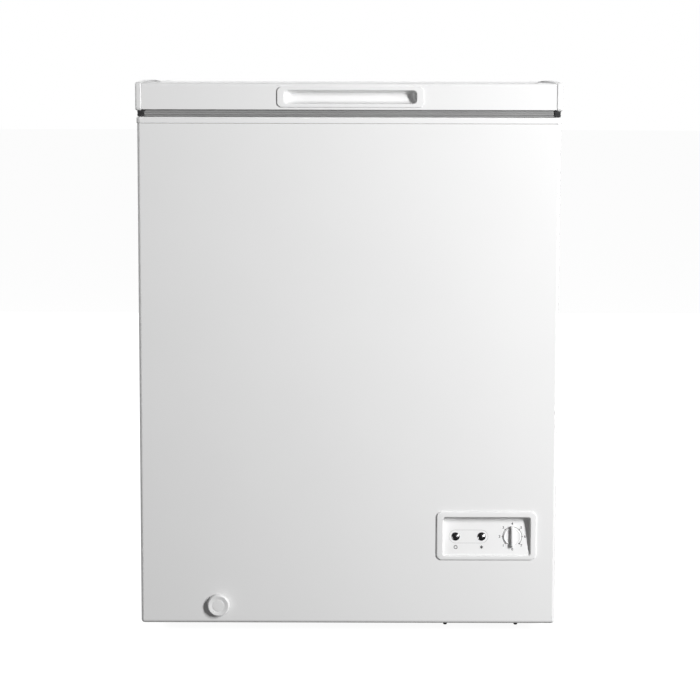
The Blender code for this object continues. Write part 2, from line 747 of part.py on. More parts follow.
def make_cord_gland():
    profile = [(0.0075, 0.005), (0.0110, 0.0035), (0.0110, 0.0008), (0.0080, 0.0008), (0.0080, -0.006),
               (0.0045, -0.006), (0.0045, 0.005)]
    place = (GLAND_X, BODY_REAR, GLAND_Z)
    return black_rubber(turned("cord_gland", profile, place, (0, 1, 0), ring=True))


def make_side_grille():
    grille = block("side_vent_grille", (BODY_HALF - 0.002, -0.060 + GAP, 0.060 + GAP),
                   (BODY_HALF + 0.0012, 0.160 - GAP, 0.220 - GAP))
    left = slots("grille slots", (BODY_HALF - REACH, -0.045, 0.0725), (BODY_HALF + REACH, 0.045, 0.0775), 10, 0.015)
    right = slots("grille slots", (BODY_HALF - REACH, 0.055, 0.0725), (BODY_HALF + REACH, 0.145, 0.0775), 10, 0.015)
    return white_plastic(cut(grille, left, right))


def make_feet():
    profile = [(0, BODY_BOTTOM - GAP), (FOOT_RADIUS - 0.004, BODY_BOTTOM - GAP), (FOOT_RADIUS, 0.004),
               (FOOT_RADIUS, 0.001), (FOOT_RADIUS - 0.001, 0), (0, 0)]
    places = [(x, y) for x in (-FOOT_X, FOOT_X) for y in FOOT_Y]
    for index, (x, y) in enumerate(places, 1):
        black_rubber(turned(f"foot_{index}", profile, (x, y, 0), (0, 0, 1)))


def ear_outline():
    """One ear of a hinge bracket, seen from the side, with a round top about the pin."""
    top = [
        (HINGE_Y - EAR_RADIUS * math.cos(step * math.pi / 8), HINGE_Z + EAR_RADIUS * math.sin(step * math.pi / 8))
        for step in range(9)
    ]
    plate_front = BODY_REAR + GAP
    return [(plate_front + 0.001, 0.735), (plate_front + 0.001, 0.763), (HINGE_Y - EAR_RADIUS, 0.7695),
            *top, (HINGE_Y + EAR_RADIUS, 0.762), (plate_front + PLATE, 0.735)]


def make_hinge(side, x):
    plate_front = BODY_REAR + GAP
    bracket = block(f"hinge_bracket_{side}", (x - BRACKET_HALF, plate_front, BRACKET_BOTTOM),
                    (x + BRACKET_HALF, plate_front + PLATE, BRACKET_TOP))
    for inner in (ARM_HALF + GAP, -ARM_HALF - GAP - EAR_THICKNESS):
        join(bracket, prism("ear", ear_outline(), "X", x + inner, x + inner + EAR_THICKNESS))
    axis = (x, HINGE_Y, HINGE_Z)
    cut(bracket, rod("ear bore", BORE_RADIUS, axis, (1, 0, 0), -0.04, 0.04))
    for place in screw_places(x):
        cut(bracket, rod("bracket screw hole", SCREW_RADIUS + GAP, place, (0, 1, 0), -REACH, REACH, 16))
    steel(bracket)
    pin = [(0, 0.0240), (PIN_RADIUS, 0.0240), (PIN_RADIUS, -0.0217), (0.0048, -0.0217), (0.0048, -0.0237), (0, -0.0237)]
    steel(turned(f"hinge_pin_{side}", pin, axis, (1, 0, 0)))
    barrel = rod(f"hinge_arm_{side}", 0.0062, axis, (1, 0, 0), -ARM_HALF, ARM_HALF)
    leaf_front = LID_REAR + GAP
    leaf = block("leaf", (x - 0.016, leaf_front, HINGE_Z + 0.001), (x + 0.016, leaf_front + PLATE, 0.826))
    web = block("web", (x - 0.016, leaf_front + 0.0002, HINGE_Z + 0.0008), (x + 0.016, HINGE_Y, HINGE_Z + 0.0055))
    join(barrel, leaf, web)
    steel(cut(barrel, rod("barrel bore", BORE_RADIUS, axis, (1, 0, 0), -0.04, 0.04)))


def make_hinge_screws():
    face = GAP + PLATE + GAP
    profile = [(0, face + 0.0022), (0.0022, face + 0.0020), (0.0040, face + 0.0008), (0.0040, face),
               (SCREW_RADIUS, face), (SCREW_RADIUS, -0.006), (0, -0.006)]
    for index, place in enumerate(screw_places(-HINGE_X, HINGE_X), 1):
        steel(turned(f"hinge_screw_{index}", profile, place, (0, 1, 0), steps=16))


def make_lid_skin():
    half = LID_HALF - END_CAP_WIDTH - GAP
    low = (-half, LID_FRONT, LID_BOTTOM)
    high = (half, LID_REAR, LID_TOP)
    open_sides = ((0, 0, -1), (1, 0, 0), (-1, 0, 0))
    skin = bent_sheet("lid_skin", low, high, open_sides, (1, 0, 0), CORNER_RADIUS)
    room = POCKET_WALL + GAP
    slot = block("handle slot", (HANDLE_X - POCKET_HALF - room, LID_FRONT - REACH, POCKET_BOTTOM - room),
                 (HANDLE_X + POCKET_HALF + room, LID_FRONT + REACH, POCKET_TOP + room))
    return white_paint(cut(skin, slot))


def make_end_caps():
    inner = LID_HALF - END_CAP_WIDTH
    for name, low_x, high_x in (("lid_end_cap_left", -LID_HALF, -inner), ("lid_end_cap_right", inner, LID_HALF)):
        cap = block(name, (low_x, LID_FRONT, LID_BOTTOM - END_CAP_DROP), (high_x, LID_REAR, LID_TOP + END_CAP_RISE))
        white_plastic(round_edges(cap, 0.002))


def make_lid_inner_panel():
    half = LID_HALF - END_CAP_WIDTH - 2 * GAP
    wall = PLASTIC_WALL
    flange = block("lid_inner_panel", (-half, LID_FRONT + SHEET + GAP, LID_FLANGE_Z),
                   (half, LID_REAR - SHEET - GAP, LID_FLANGE_Z + wall))
    pan = block("pan", (-PAN_HALF, PAN_FRONT, PAN_BOTTOM), (PAN_HALF, PAN_REAR, LID_TOP))
    round_edges(pan, 0.005)
    hollow = block("pan hollow", (-PAN_HALF + wall, PAN_FRONT + wall, PAN_BOTTOM + wall),
                   (PAN_HALF - wall, PAN_REAR - wall, LID_TOP + REACH))
    round_edges(hollow, 0.0035)
    above = block("above the flange", (-LID_HALF, LID_FRONT, LID_FLANGE_Z + wall),
                  (LID_HALF, LID_REAR, LID_TOP + 2 * REACH))
    return white_plastic(cut(join(flange, pan), hollow, above))


def make_lid_foam():
    half = LID_HALF - END_CAP_WIDTH - 2 * GAP
    inset = SHEET + GAP
    core = block("lid_foam", (-half, LID_FRONT + inset, LID_FLANGE_Z + PLASTIC_WALL + GAP),
                 (half, LID_REAR - inset, LID_TOP - inset))
    round_edges(core, CORNER_RADIUS)
    shrink = PLASTIC_WALL + 0.002
    lower = block("foam in the pan", (-PAN_HALF + shrink, PAN_FRONT + shrink, PAN_BOTTOM + shrink),
                  (PAN_HALF - shrink, PAN_REAR - shrink, LID_FLANGE_Z + REACH))
    room = POCKET_WALL + GAP
    pocket = block("pocket space", (HANDLE_X - POCKET_HALF - room, LID_FRONT - REACH, POCKET_BOTTOM - room),
                   (HANDLE_X + POCKET_HALF + room, LID_FRONT + POCKET_DEPTH + room, POCKET_TOP + room))
    return foam(cut(join(core, lower), pocket))


def make_gasket():
    low = LID_FLANGE_Z - GAP
    ring = block("lid_gasket", (-GASKET_HALF, GASKET_FRONT, RIM_TOP + GAP), (GASKET_HALF, GASKET_REAR, low))
    round_edges(ring, 0.002)
    middle = block("gasket middle", (-GASKET_HALF + GASKET_WIDTH, GASKET_FRONT + GASKET_WIDTH, RIM_BOTTOM),
                   (GASKET_HALF - GASKET_WIDTH, GASKET_REAR - GASKET_WIDTH, LID_TOP))
    return paint(cut(ring, middle), (0.42, 0.43, 0.43), 0.6, 0.0)


def make_bumpers():
    inner = GASKET_HALF + GAP
    outer = inner + BUMPER_WIDTH
    low_z, high_z = RIM_TOP + 2 * GAP, LID_BOTTOM - END_CAP_DROP - GAP
    for name, low_x, high_x in (("lid_bumper_left", -outer, -inner), ("lid_bumper_right", inner, outer)):
        bumper = block(name, (low_x, GASKET_FRONT, low_z), (high_x, GASKET_FRONT + BUMPER_DEPTH, high_z))
        black_rubber(round_edges(bumper, 0.001))


def make_handle():
    back = LID_FRONT - GAP
    bezel = block("handle_pocket", (HANDLE_X - BEZEL_HALF, back - BEZEL_PROUD, BEZEL_BOTTOM),
                  (HANDLE_X + BEZEL_HALF, back, BEZEL_TOP))
    round_edges(bezel, 0.0008)
    wall = POCKET_WALL
    cup = block("cup", (HANDLE_X - POCKET_HALF - wall, back - 0.001, POCKET_BOTTOM - wall),
                (HANDLE_X + POCKET_HALF + wall, LID_FRONT + POCKET_DEPTH + wall, POCKET_TOP + wall))
    scoop = block("scoop", (HANDLE_X - POCKET_HALF, LID_FRONT - REACH, POCKET_BOTTOM),
                  (HANDLE_X + POCKET_HALF, LID_FRONT + POCKET_DEPTH, POCKET_TOP))
    round_edges(scoop, 0.004, 3)
    return white_plastic(cut(join(bezel, cup), scoop))


def make_basket():
    right = BASKET_LEFT + BASKET_WIDTH
    wall = BASKET_WALL
    low = LEDGE_TOP + GAP
    high = low + wall
    tub = block("wire_basket", (BASKET_LEFT, BASKET_FRONT, BASKET_BOTTOM), (right, BASKET_REAR, high))
    inside = block("basket inside", (BASKET_LEFT + wall, BASKET_FRONT + wall, BASKET_BOTTOM + wall),
                   (right - wall, BASKET_REAR - wall, high + REACH))
    sides = block("above the sides", (BASKET_LEFT - REACH, BASKET_FRONT + wall, BASKET_TOP),
                  (right + REACH, BASKET_REAR - wall, high + REACH))
    hook = LEDGE_WIDTH - 0.003 + BASKET_FRONT - CAVITY_FRONT
    front_hook = block("front hook", (BASKET_LEFT, BASKET_FRONT - hook + 0.0015, low), (right, BASKET_FRONT + 0.001, high))
    rear_hook = block("rear hook", (BASKET_LEFT, BASKET_REAR - 0.001, low), (right, BASKET_REAR + hook - 0.0015, high))
    join(tub, front_hook, rear_hook)
    return paint(cut(tub, inside, sides), WHITE, 0.4, 0.0)


def main():
    clear_scene()
    new_collection(COLLECTION)
    new_collection("helpers")
    make_outer_cabinet()
    make_rear_panel()
    make_base_plate()
    make_foam()
    make_inner_liner()
    make_rim_trim()
    make_compartment_panel()
    make_compressor_tray()
    make_tray_bolts()
    make_compressor()
    make_grommets()
    make_relay_box()
    make_pipes()
    make_coils()
    make_control_bezel()
    make_thermostat()
    make_knob()
    make_lamps()
    make_drain()
    make_drain_plug()
    make_compressor_cover()
    make_cord_gland()
    make_side_grille()
    make_feet()
    make_hinge("left", -HINGE_X)
    make_hinge("right", HINGE_X)
    make_hinge_screws()
    make_lid_skin()
    make_end_caps()
    make_lid_inner_panel()
    make_lid_foam()
    make_gasket()
    make_bumpers()
    make_handle()
    make_basket()


main()
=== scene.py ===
"""The looks of the chest freezer: fine shapes, materials, floor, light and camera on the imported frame."""

import json
from math import atan2, cos, pi, radians, sin, tan, tau

import bmesh
import bpy
from mathutils import Matrix, Vector


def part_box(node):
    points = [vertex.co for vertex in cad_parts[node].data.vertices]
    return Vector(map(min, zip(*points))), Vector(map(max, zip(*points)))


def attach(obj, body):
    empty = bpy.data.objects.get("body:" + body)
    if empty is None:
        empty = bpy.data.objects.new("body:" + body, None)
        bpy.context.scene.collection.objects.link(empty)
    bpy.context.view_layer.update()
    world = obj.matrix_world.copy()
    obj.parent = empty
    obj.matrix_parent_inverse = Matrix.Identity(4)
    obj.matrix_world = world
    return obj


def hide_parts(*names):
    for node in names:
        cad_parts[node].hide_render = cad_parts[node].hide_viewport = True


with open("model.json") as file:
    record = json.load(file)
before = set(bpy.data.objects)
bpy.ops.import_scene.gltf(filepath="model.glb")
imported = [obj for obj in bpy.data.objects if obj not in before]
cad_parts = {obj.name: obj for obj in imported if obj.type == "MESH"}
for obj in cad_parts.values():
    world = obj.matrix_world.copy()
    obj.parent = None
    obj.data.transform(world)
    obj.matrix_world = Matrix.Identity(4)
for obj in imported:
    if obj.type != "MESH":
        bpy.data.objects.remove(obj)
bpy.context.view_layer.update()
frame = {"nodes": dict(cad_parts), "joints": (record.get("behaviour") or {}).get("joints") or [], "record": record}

# Turns for shapes drawn as (u, v, w): w is up, out of the front, out of the back, or along X.
UP = Matrix.Identity(4)
FRONT = Matrix(((1, 0, 0, 0), (0, 0, -1, 0), (0, 1, 0, 0), (0, 0, 0, 1)))
BACK = Matrix(((-1, 0, 0, 0), (0, 0, 1, 0), (0, 1, 0, 0), (0, 0, 0, 1)))
ALONG_X = Matrix(((0, 0, 1, 0), (1, 0, 0, 0), (0, 1, 0, 0), (0, 0, 0, 1)))

GAP = 0.0003  # between pieces that must not touch
SHEET = 0.001  # the thickness of the cabinet's and the lid's sheet
SLIVER = 0.000002  # edges shorter than this are what a cut leaves over

JOINTS = {joint["name"]: joint for joint in frame["joints"]}


# ---- boxes read from the frame

def middle(node):
    low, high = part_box(node)
    return (low + high) / 2


# ---- materials

def set_inputs(node, **inputs):
    for name, value in inputs.items():
        node.inputs[name.replace("_", " ")].default_value = value


def new_node(look, kind, **inputs):
    node = look.node_tree.nodes.new(kind)
    set_inputs(node, **inputs)
    return node


def join(look, source, target):
    look.node_tree.links.new(source, target)


def texture(look, kind, scale, stretch=None, **inputs):
    """A texture whose scale is its number of blotches in a metre, stretched along the axes if asked."""
    pattern = new_node(look, kind, Scale=scale, **inputs)
    source = next(node for node in look.node_tree.nodes if node.type == "TEX_COORD").outputs["Object"]
    if stretch:
        mapping = new_node(look, "ShaderNodeMapping", Scale=stretch)
        join(look, source, mapping.inputs["Vector"])
        source = mapping.outputs["Vector"]
    join(look, source, pattern.inputs["Vector"])
    return pattern


def noise(look, scale, detail, stretch=None):
    return texture(look, "ShaderNodeTexNoise", scale, stretch, Detail=detail).outputs["Fac"]


def span(look, fac, low, high):
    """Maps a noise onto the values between low and high."""
    ranger = new_node(look, "ShaderNodeMapRange", From_Min=0.3, From_Max=0.7, To_Min=low, To_Max=high)
    join(look, fac, ranger.inputs["Value"])
    return ranger.outputs["Result"]


def tint(colour, share):
    return (*(min(1.0, channel * share) for channel in colour), 1)


def blend(look, fac, colour):
    """Mixes a colour into the base colour by fac, and returns the node that does it."""
    base = look.node_tree.nodes["Principled BSDF"].inputs["Base Color"]
    mix = look.node_tree.nodes.new("ShaderNodeMix")
    mix.data_type = "RGBA"
    mix.inputs[7].default_value = colour
    join(look, fac, mix.inputs[0])
    if base.is_linked:
        join(look, base.links[0].from_socket, mix.inputs[6])
    join(look, mix.outputs[2], base)
    return mix


def bump(look, height, distance):
    relief = new_node(look, "ShaderNodeBump", Strength=1.0, Distance=distance)
    join(look, height, relief.inputs["Height"])
    return relief


def surface(name, colour, roughness, metallic=0.0, mottle=0.03, blotch=9.0, grain=900.0, relief=0.00002,
            polish=0.06, coat=0.0, stretch=None, wave=0.0):
    """A Principled material with blotches of tone, uneven gloss, a fine grain and, for sheet, a long wave."""
    look = bpy.data.materials.new(name)
    look.use_nodes = True
    shader = look.node_tree.nodes["Principled BSDF"]
    set_inputs(shader, Metallic=metallic, Coat_Weight=coat, Coat_Roughness=0.08)
    new_node(look, "ShaderNodeTexCoord")
    tone = span(look, noise(look, blotch, 5.0, stretch), 0.0, 1.0)
    blend(look, tone, tint(colour, 1 + mottle)).inputs[6].default_value = tint(colour, 1 - mottle)
    gloss = noise(look, blotch * 4.3, 4.0, stretch)
    join(look, span(look, gloss, roughness - polish, roughness + polish), shader.inputs["Roughness"])
    fine = bump(look, noise(look, grain, 2.0, stretch), relief)
    join(look, fine.outputs["Normal"], shader.inputs["Normal"])
    if wave:
        add_relief(look, noise(look, 5.0, 1.0), wave)
    return look


def add_relief(look, height, distance):
    """Puts another bump under the ones that a material has."""
    under = bump(look, height, distance)
    last = look.node_tree.nodes["Principled BSDF"]
    while last.inputs["Normal"].is_linked:
        last = last.inputs["Normal"].links[0].from_node
    join(look, under.outputs["Normal"], last.inputs["Normal"])


def embossed_sheet(name, colour):
    """Coated liner sheet, pressed with a pebble pattern."""
    look = surface(name, colour, 0.36, mottle=0.02, relief=0.00001)
    pebbles = texture(look, "ShaderNodeTexVoronoi", 170.0)
    pebbles.feature = "SMOOTH_F1"
    add_relief(look, pebbles.outputs["Distance"], 0.0006)
    return look


def zinc_sheet(name, colour):
    """Galvanised steel with its pale and dark crystals."""
    look = surface(name, colour, 0.34, metallic=1.0, mottle=0.05, relief=0.00001)
    grey = new_node(look, "ShaderNodeSeparateColor")
    join(look, texture(look, "ShaderNodeTexVoronoi", 130.0).outputs["Color"], grey.inputs["Color"])
    blend(look, span(look, grey.outputs["Red"], 0.0, 0.7), tint(colour, 0.78))
    return look


def make_looks():
    """Every material: its colour, its roughness, and what else differs from a usual surface."""
    white = (0.80, 0.80, 0.80)
    plain = {
        "white_paint": (white, 0.38, dict(mottle=0.006, grain=1100, relief=16e-6, polish=0.012, wave=0.0002)),
        "white_plastic": (white, 0.42, dict(mottle=0.008, grain=2600, relief=12e-6, polish=0.025)),
        "black_rubber": ((0.018, 0.018, 0.019), 0.7, dict(mottle=0.25, grain=1600, relief=50e-6)),
        "gasket_rubber": ((0.32, 0.32, 0.32), 0.55, dict(mottle=0.05, grain=1400)),
        "insulation_foam": ((0.80, 0.66, 0.34), 0.9, dict(mottle=0.14, blotch=60, grain=700, relief=600e-6)),
        "copper": ((0.72, 0.36, 0.21), 0.3, dict(metallic=1.0, mottle=0.18, blotch=60)),
        "black_paint": ((0.022, 0.022, 0.024), 0.42, dict(mottle=0.2, grain=1200, relief=30e-6)),
        "black_plastic": ((0.02, 0.02, 0.021), 0.5, dict(mottle=0.15, grain=2200)),
        "grey_plastic": ((0.55, 0.55, 0.53), 0.5, dict(mottle=0.05, grain=2200)),
        "dark_lens": ((0.006, 0.006, 0.007), 0.26,
                      dict(mottle=0.3, grain=300, relief=4e-6, polish=0.03, coat=1.0)),
        "coil_aluminium": ((0.78, 0.79, 0.80), 0.36, dict(metallic=1.0, mottle=0.06, stretch=(1, 1, 9))),
        "coated_wire": (white, 0.3, dict(mottle=0.02, relief=30e-6, coat=0.3)),
        "ink": ((0.022, 0.022, 0.023), 0.55, dict(mottle=0.2, grain=3000, relief=5e-6)),
        # A pale grey for the thin line drawn all round the two lamps.
        "pale_grey_line": ((0.40, 0.40, 0.40), 0.55, dict(mottle=0.1, grain=3000, relief=5e-6)),
    }
    looks = {name: surface(name, colour, rough, **rest) for name, (colour, rough, rest) in plain.items()}
    looks["zinc_steel"] = zinc_sheet("zinc_steel", (0.60, 0.61, 0.62))
    looks["liner_sheet"] = embossed_sheet("liner_sheet", (0.78, 0.79, 0.80))
    return looks


LOOKS = make_looks()


# ---- shape tools

def smooth(mesh, degrees=32):
    mesh.shade_smooth()
    mesh.set_sharp_from_angle(angle=radians(degrees))


def mm(rows, start=(0, 0, 0)):
    """Rows of millimetres as metres, counted from a starting point."""
    return [tuple(first + value / 1000 for first, value in zip(start, row)) for row in rows]


def at(x, y, z, turn=UP):
    return Matrix.Translation((x, y, z)) @ turn


def linked(name, data):
    """A new object in the scene."""
    piece = bpy.data.objects.new(name, data)
    bpy.context.scene.collection.objects.link(piece)
    return piece


def mesh_piece(name, work):
    mesh = bpy.data.meshes.new(name)
    work.to_mesh(mesh)
    work.free()
    smooth(mesh)
    return linked(name, mesh)


def new_piece(name, work, place=UP):
    """A named object from a bmesh, its faces turned outwards."""
    work.transform(place)
    bmesh.ops.recalc_face_normals(work, faces=work.faces)
    return mesh_piece(name, work)


def show(piece, look, body, *nodes, slot=None):
    """Gives a piece its material, its body and the CAD nodes that it stands for."""
    piece.data.materials.clear()
    piece.data.materials.append(LOOKS[look])
    even = piece.modifiers.new("even faces", "WEIGHTED_NORMAL")
    even.keep_sharp = True
    slot or look
    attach(piece, body)
    if nodes:
        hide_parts(*nodes)
    return piece


SLOTS = {part["node"]: part["material_slot"] for part in frame["record"]["subparts"]}
BODIES = {node: body for body, nodes in frame["record"]["behaviour"]["bodies"].items() for node in nodes}


def stand_in(piece, node):
    """Shows a piece in place of a CAD node, in its material and on its body."""
    show(piece, SLOTS[node], BODIES[node], node)


def baked(piece):
    """A mesh of what a piece looks like with its modifiers."""
    graph = bpy.context.evaluated_depsgraph_get()
    return bpy.data.meshes.new_from_object(piece.evaluated_get(graph))


def evaluated(piece):
    """Applies a piece's modifiers, and smooths the result."""
    mesh = baked(piece)
    piece.modifiers.clear()
    piece.data = mesh
    smooth(mesh)
    return piece


def combine(piece, operation, *others):
    """Cuts other shapes out of a piece or joins them on, and removes them."""
    for other in others:
        boolean = piece.modifiers.new("boolean", "BOOLEAN")
        boolean.operation = operation
        boolean.solver = "EXACT"
        boolean.object = other
    bpy.context.view_layer.update()
    evaluated(piece)
    for other in others:
        bpy.data.objects.remove(other)
    work = bmesh.new()
    work.from_mesh(piece.data)
    bmesh.ops.remove_doubles(work, verts=work.verts, dist=SLIVER)
    bmesh.ops.dissolve_degenerate(work, edges=work.edges, dist=SLIVER)
    work.to_mesh(piece.data)
    work.free()
    smooth(piece.data)
    return piece


def thicken(piece, thickness, offset):
    thick = piece.modifiers.new("sheet", "SOLIDIFY")
    thick.thickness = thickness
    thick.offset = offset
    return evaluated(piece)


def merge(name, pieces):
    """One piece made of several that touch or cross."""
    work = bmesh.new()
    for piece in pieces:
        piece.data.transform(piece.matrix_basis)
        work.from_mesh(piece.data)
        bpy.data.objects.remove(piece)
    return mesh_piece(name, work)


def soften(piece, radius, segments):
    bevel = piece.modifiers.new("soft edges", "BEVEL")
    bevel.width = radius
    bevel.segments = segments
    bevel.angle_limit = radians(40)
    return evaluated(piece)


def block(name, low, high, place=UP):
    """A box between two corners."""
    work = bmesh.new()
    extent = [b - a for a, b in zip(low, high)]
    centre = [(a + b) / 2 for a, b in zip(low, high)]
    bmesh.ops.create_cube(work, size=1.0, matrix=Matrix.Translation(centre) @ Matrix.Diagonal((*extent, 1)))
    return new_piece(name, work, place)


def right_of(start, end):
    along = (Vector(end) - Vector(start)).normalized()
    return Vector((along.y, -along.x))


def bent_path(corners, radius, steps=6):
    """Points along a path with rounded square turns to the left, each with the direction to its right."""
    path = [(Vector(corners[0]), right_of(corners[0], corners[1]))]
    for before, corner, after in zip(corners, corners[1:], corners[2:]):
        first, second = right_of(before, corner), right_of(corner, after)
        centre = Vector(corner) - (first + second) * radius
        for step in range(steps + 1):
            angle = step / steps * pi / 2
            out = first * cos(angle) + second * sin(angle)
            path.append((centre + out * radius, out))
    path.append((Vector(corners[-1]), right_of(corners[-2], corners[-1])))
    return path


def ring_path(half_u, half_v, radius, steps=6, centre=(0, 0)):
    """Points round a rectangle with round corners, each with the direction outwards."""
    path = []
    for quarter, (su, sv) in enumerate(((1, 1), (-1, 1), (-1, -1), (1, -1))):
        corner = Vector(centre) + Vector((su * (half_u - radius), sv * (half_v - radius)))
        for step in range(steps + 1):
            angle = (quarter + step / steps) * pi / 2
            out = Vector((cos(angle), sin(angle)))
            path.append((corner + out * radius, out))
    return path


def sweep(name, path, profile, closed=True, place=UP):
    """Carries a closed profile of (outward, height) points along a path."""
    rings = [[(*(point + out * u), w) for u, w in profile] for point, out in path]
    return loft(name, rings, place, () if closed else (0, -1))


def loft(name, rings, place=UP, caps=(0, -1)):
    """Skins rings with as many points each. caps lists the rings to fill; with none the ends are joined."""
    work = bmesh.new()
    sections = [[work.verts.new(point) for point in ring] for ring in rings]
    pairs = list(zip(sections, sections[1:]))
    if not caps:
        pairs.append((sections[-1], sections[0]))
    for first, second in pairs:
        for i in range(len(first)):
            j = (i + 1) % len(first)
            work.faces.new((first[i], first[j], second[j], second[i]))
    for end in caps:
        work.faces.new(sections[end])
    return new_piece(name, work, place)


def rect_ring(half_u, half_v, radius, height, centre=(0, 0), steps=6):
    """A ring for loft: a rectangle with round corners. height is a number, or a function of (u, v)."""
    points = [point for point, _ in ring_path(half_u, half_v, radius, steps, centre)]
    return [(p.x, p.y, height(p.x, p.y) if callable(height) else height) for p in points]


def ring_stack(centre, half, rows, steps=8):
    """Rings round a rectangle, from rows of (inset, height, corner radius)."""
    return [rect_ring(half[0] - inset, half[1] - inset, radius, height, centre, steps)
            for inset, height, radius in rows]


def shrinking(corner, least, rows):
    """Rows for ring_stack from (inset, height), with a corner radius that shrinks as the inset grows."""
    return [(inset, height, max(corner - inset, least)) for inset, height in rows]


def collar(name, centre, half, profile, place=UP):
    """A ring round a rectangle: a closed profile of (inset, height, corner radius) points."""
    return loft(name, ring_stack(centre, half, profile), place, ())


def about(left, right, bottom, top):
    """The centre and the half sizes of a rectangle."""
    return ((left + right) / 2, (bottom + top) / 2), ((right - left) / 2, (top - bottom) / 2)


def plan(low, high, u="x", v="y"):
    """The centre and the half sizes of a box as seen along an axis: from above, unless told otherwise."""
    return about(getattr(low, u), getattr(high, u), getattr(low, v), getattr(high, v))


def turned(name, profile, place, steps=48):
    """A turned shape: (radius, height) points from the axis at the top round to the axis at the bottom."""
    angles = [i / steps * tau for i in range(steps)]
    rings = []
    for radius, height in profile:
        radius = max(radius, 0.0001)
        rings.append([(radius * cos(a), radius * sin(a), height) for a in angles])
    return loft(name, rings, place)


def hollow_turned(name, profile, place, steps=48):
    """A turned ring: a closed profile of (radius, height) points."""
    angles = [i / steps * tau for i in range(steps)]
    path = [(Vector((0, 0)), Vector((cos(a), sin(a)))) for a in angles]
    return sweep(name, path, profile, True, place)


def sheet_profile(line, thickness):
    """A closed profile: a line of points and the same line moved inwards by the sheet's thickness."""
    inner = []
    for i, point in enumerate(line):
        before, after = line[max(i - 1, 0)], line[min(i + 1, len(line) - 1)]
        along = Vector((after[0] - before[0], after[1] - before[1])).normalized()
        inner.append((point[0] + along.y * thickness, point[1] - along.x * thickness))
    return [*line, *reversed(inner)]


def arc_points(centre, radius, start, end, steps=6):
    """Points on an arc, its angles in degrees."""
    points = []
    for step in range(steps + 1):
        angle = radians(start + (end - start) * step / steps)
        points.append((centre[0] + radius * cos(angle), centre[1] + radius * sin(angle)))
    return points


def wires(name, paths, radius, sides=3):
    """Round wires along paths, as one curve with a spline for each."""
    curve = bpy.data.curves.new(name, "CURVE")
    curve.dimensions = "3D"
    curve.bevel_depth = radius
    curve.bevel_resolution = sides
    curve.use_fill_caps = True
    for path in paths:
        spline = curve.splines.new("POLY")
        spline.points.add(len(path) - 1)
        for point, place in zip(spline.points, path):
            point.co = (*place, 1)
    return as_mesh(linked(name, curve))


def as_mesh(piece):
    """Replaces a curve or text object with its mesh."""
    bpy.context.view_layer.update()
    mesh = baked(piece)
    mesh.transform(piece.matrix_world)
    name = piece.name
    bpy.data.objects.remove(piece)
    return linked(name, mesh)


def rounded(corners, radius, steps=5):
    """A path in space with its corners rounded."""
    path = [Vector(corners[0])]
    for before, corner, after in zip(corners, corners[1:], corners[2:]):
        corner = Vector(corner)
        start = corner + (Vector(before) - corner).normalized() * radius
        end = corner + (Vector(after) - corner).normalized() * radius
        for step in range(steps + 1):
            t = step / steps
            path.append(start * (1 - t) ** 2 + corner * 2 * t * (1 - t) + end * t ** 2)
    path.append(Vector(corners[-1]))
    return path


# ---- cabinet

def drill(radius, place, steps):
    """A round bar that bores a hole through a sheet."""
    length = 0.02
    return turned("drill", [(0, length), (radius, length), (radius, -length), (0, -length)], place, steps)


def cabinet_shell():
    """The wrap of painted sheet round the front and sides, with its lower edge rolled under."""
    low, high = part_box("outer_cabinet")
    bottom, roll, rim, reach = low.z - 0.0004, 0.0045, 0.0052, 0.02
    line = [(0, high.z), (0, bottom + 0.05), *arc_points((-roll, bottom + roll), roll, 0, -90),
            (-0.014, bottom)]
    corners = [(low.x, high.y), (low.x, low.y), (high.x, low.y), (high.x, high.y)]
    shell = sweep("cabinet_shell", bent_path(corners, 0.0036, 8), sheet_profile(line, -SHEET), closed=False)
    bezel_low, bezel_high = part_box("control_bezel")
    window = block("window", (bezel_low.x + rim, low.y - reach, bezel_low.z + rim),
                   (bezel_high.x - rim, low.y + reach, bezel_high.z - rim))
    grille_low, grille_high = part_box("side_vent_grille")
    vent = block("vent", (high.x - 0.01, grille_low.y - GAP, grille_low.z - GAP),
                 (high.x + 0.01, grille_high.y + GAP, grille_high.z + GAP))
    drain_at = middle("drain_socket")
    combine(shell, "DIFFERENCE", window, vent, drill(0.0123, at(drain_at.x, low.y, drain_at.z, FRONT), 40))
    stand_in(shell, "outer_cabinet")


def pressed_plate(name, centre, half, thickness, bead, place, edge=0.002):
    """Sheet with a frame pressed up from it. bead is its centre, half sizes, step width and height."""
    bead_centre, bead_half, step, rise = bead
    land = 0.012
    rows = [(step, 0), (step * 0.75, 0.15), (step * 0.25, 0.85), (0, 1), (-land, 1),
            (-land - step * 0.3, 0.8), (-land - step * 0.8, 0.15), (-land - step, 0)]
    rings = ring_stack(centre, half, [(0, 0, edge), (0, thickness, edge)], 6)
    rings += ring_stack(bead_centre, bead_half,
                        [(-grow, thickness + rise * up, 0.02 + grow) for grow, up in rows], 6)
    return loft(name, rings, place)


def rear_panel():
    low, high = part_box("rear_panel")
    bead = ((0, 0.475), (0.245, 0.155), 0.008, 0.003)
    centre, half = plan(low, high, "x", "z")
    panel = pressed_plate("rear_sheet", centre, half, high.y - low.y, bead, at(0, low.y, 0, BACK))
    cover_low, cover_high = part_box("compressor_cover")
    notch = block("notch", (cover_low.x - GAP, low.y - 0.02, low.z - 0.02),
                  (high.x + 0.02, high.y + 0.02, cover_high.z + GAP))
    combine(panel, "DIFFERENCE", notch)
    stand_in(panel, "rear_panel")


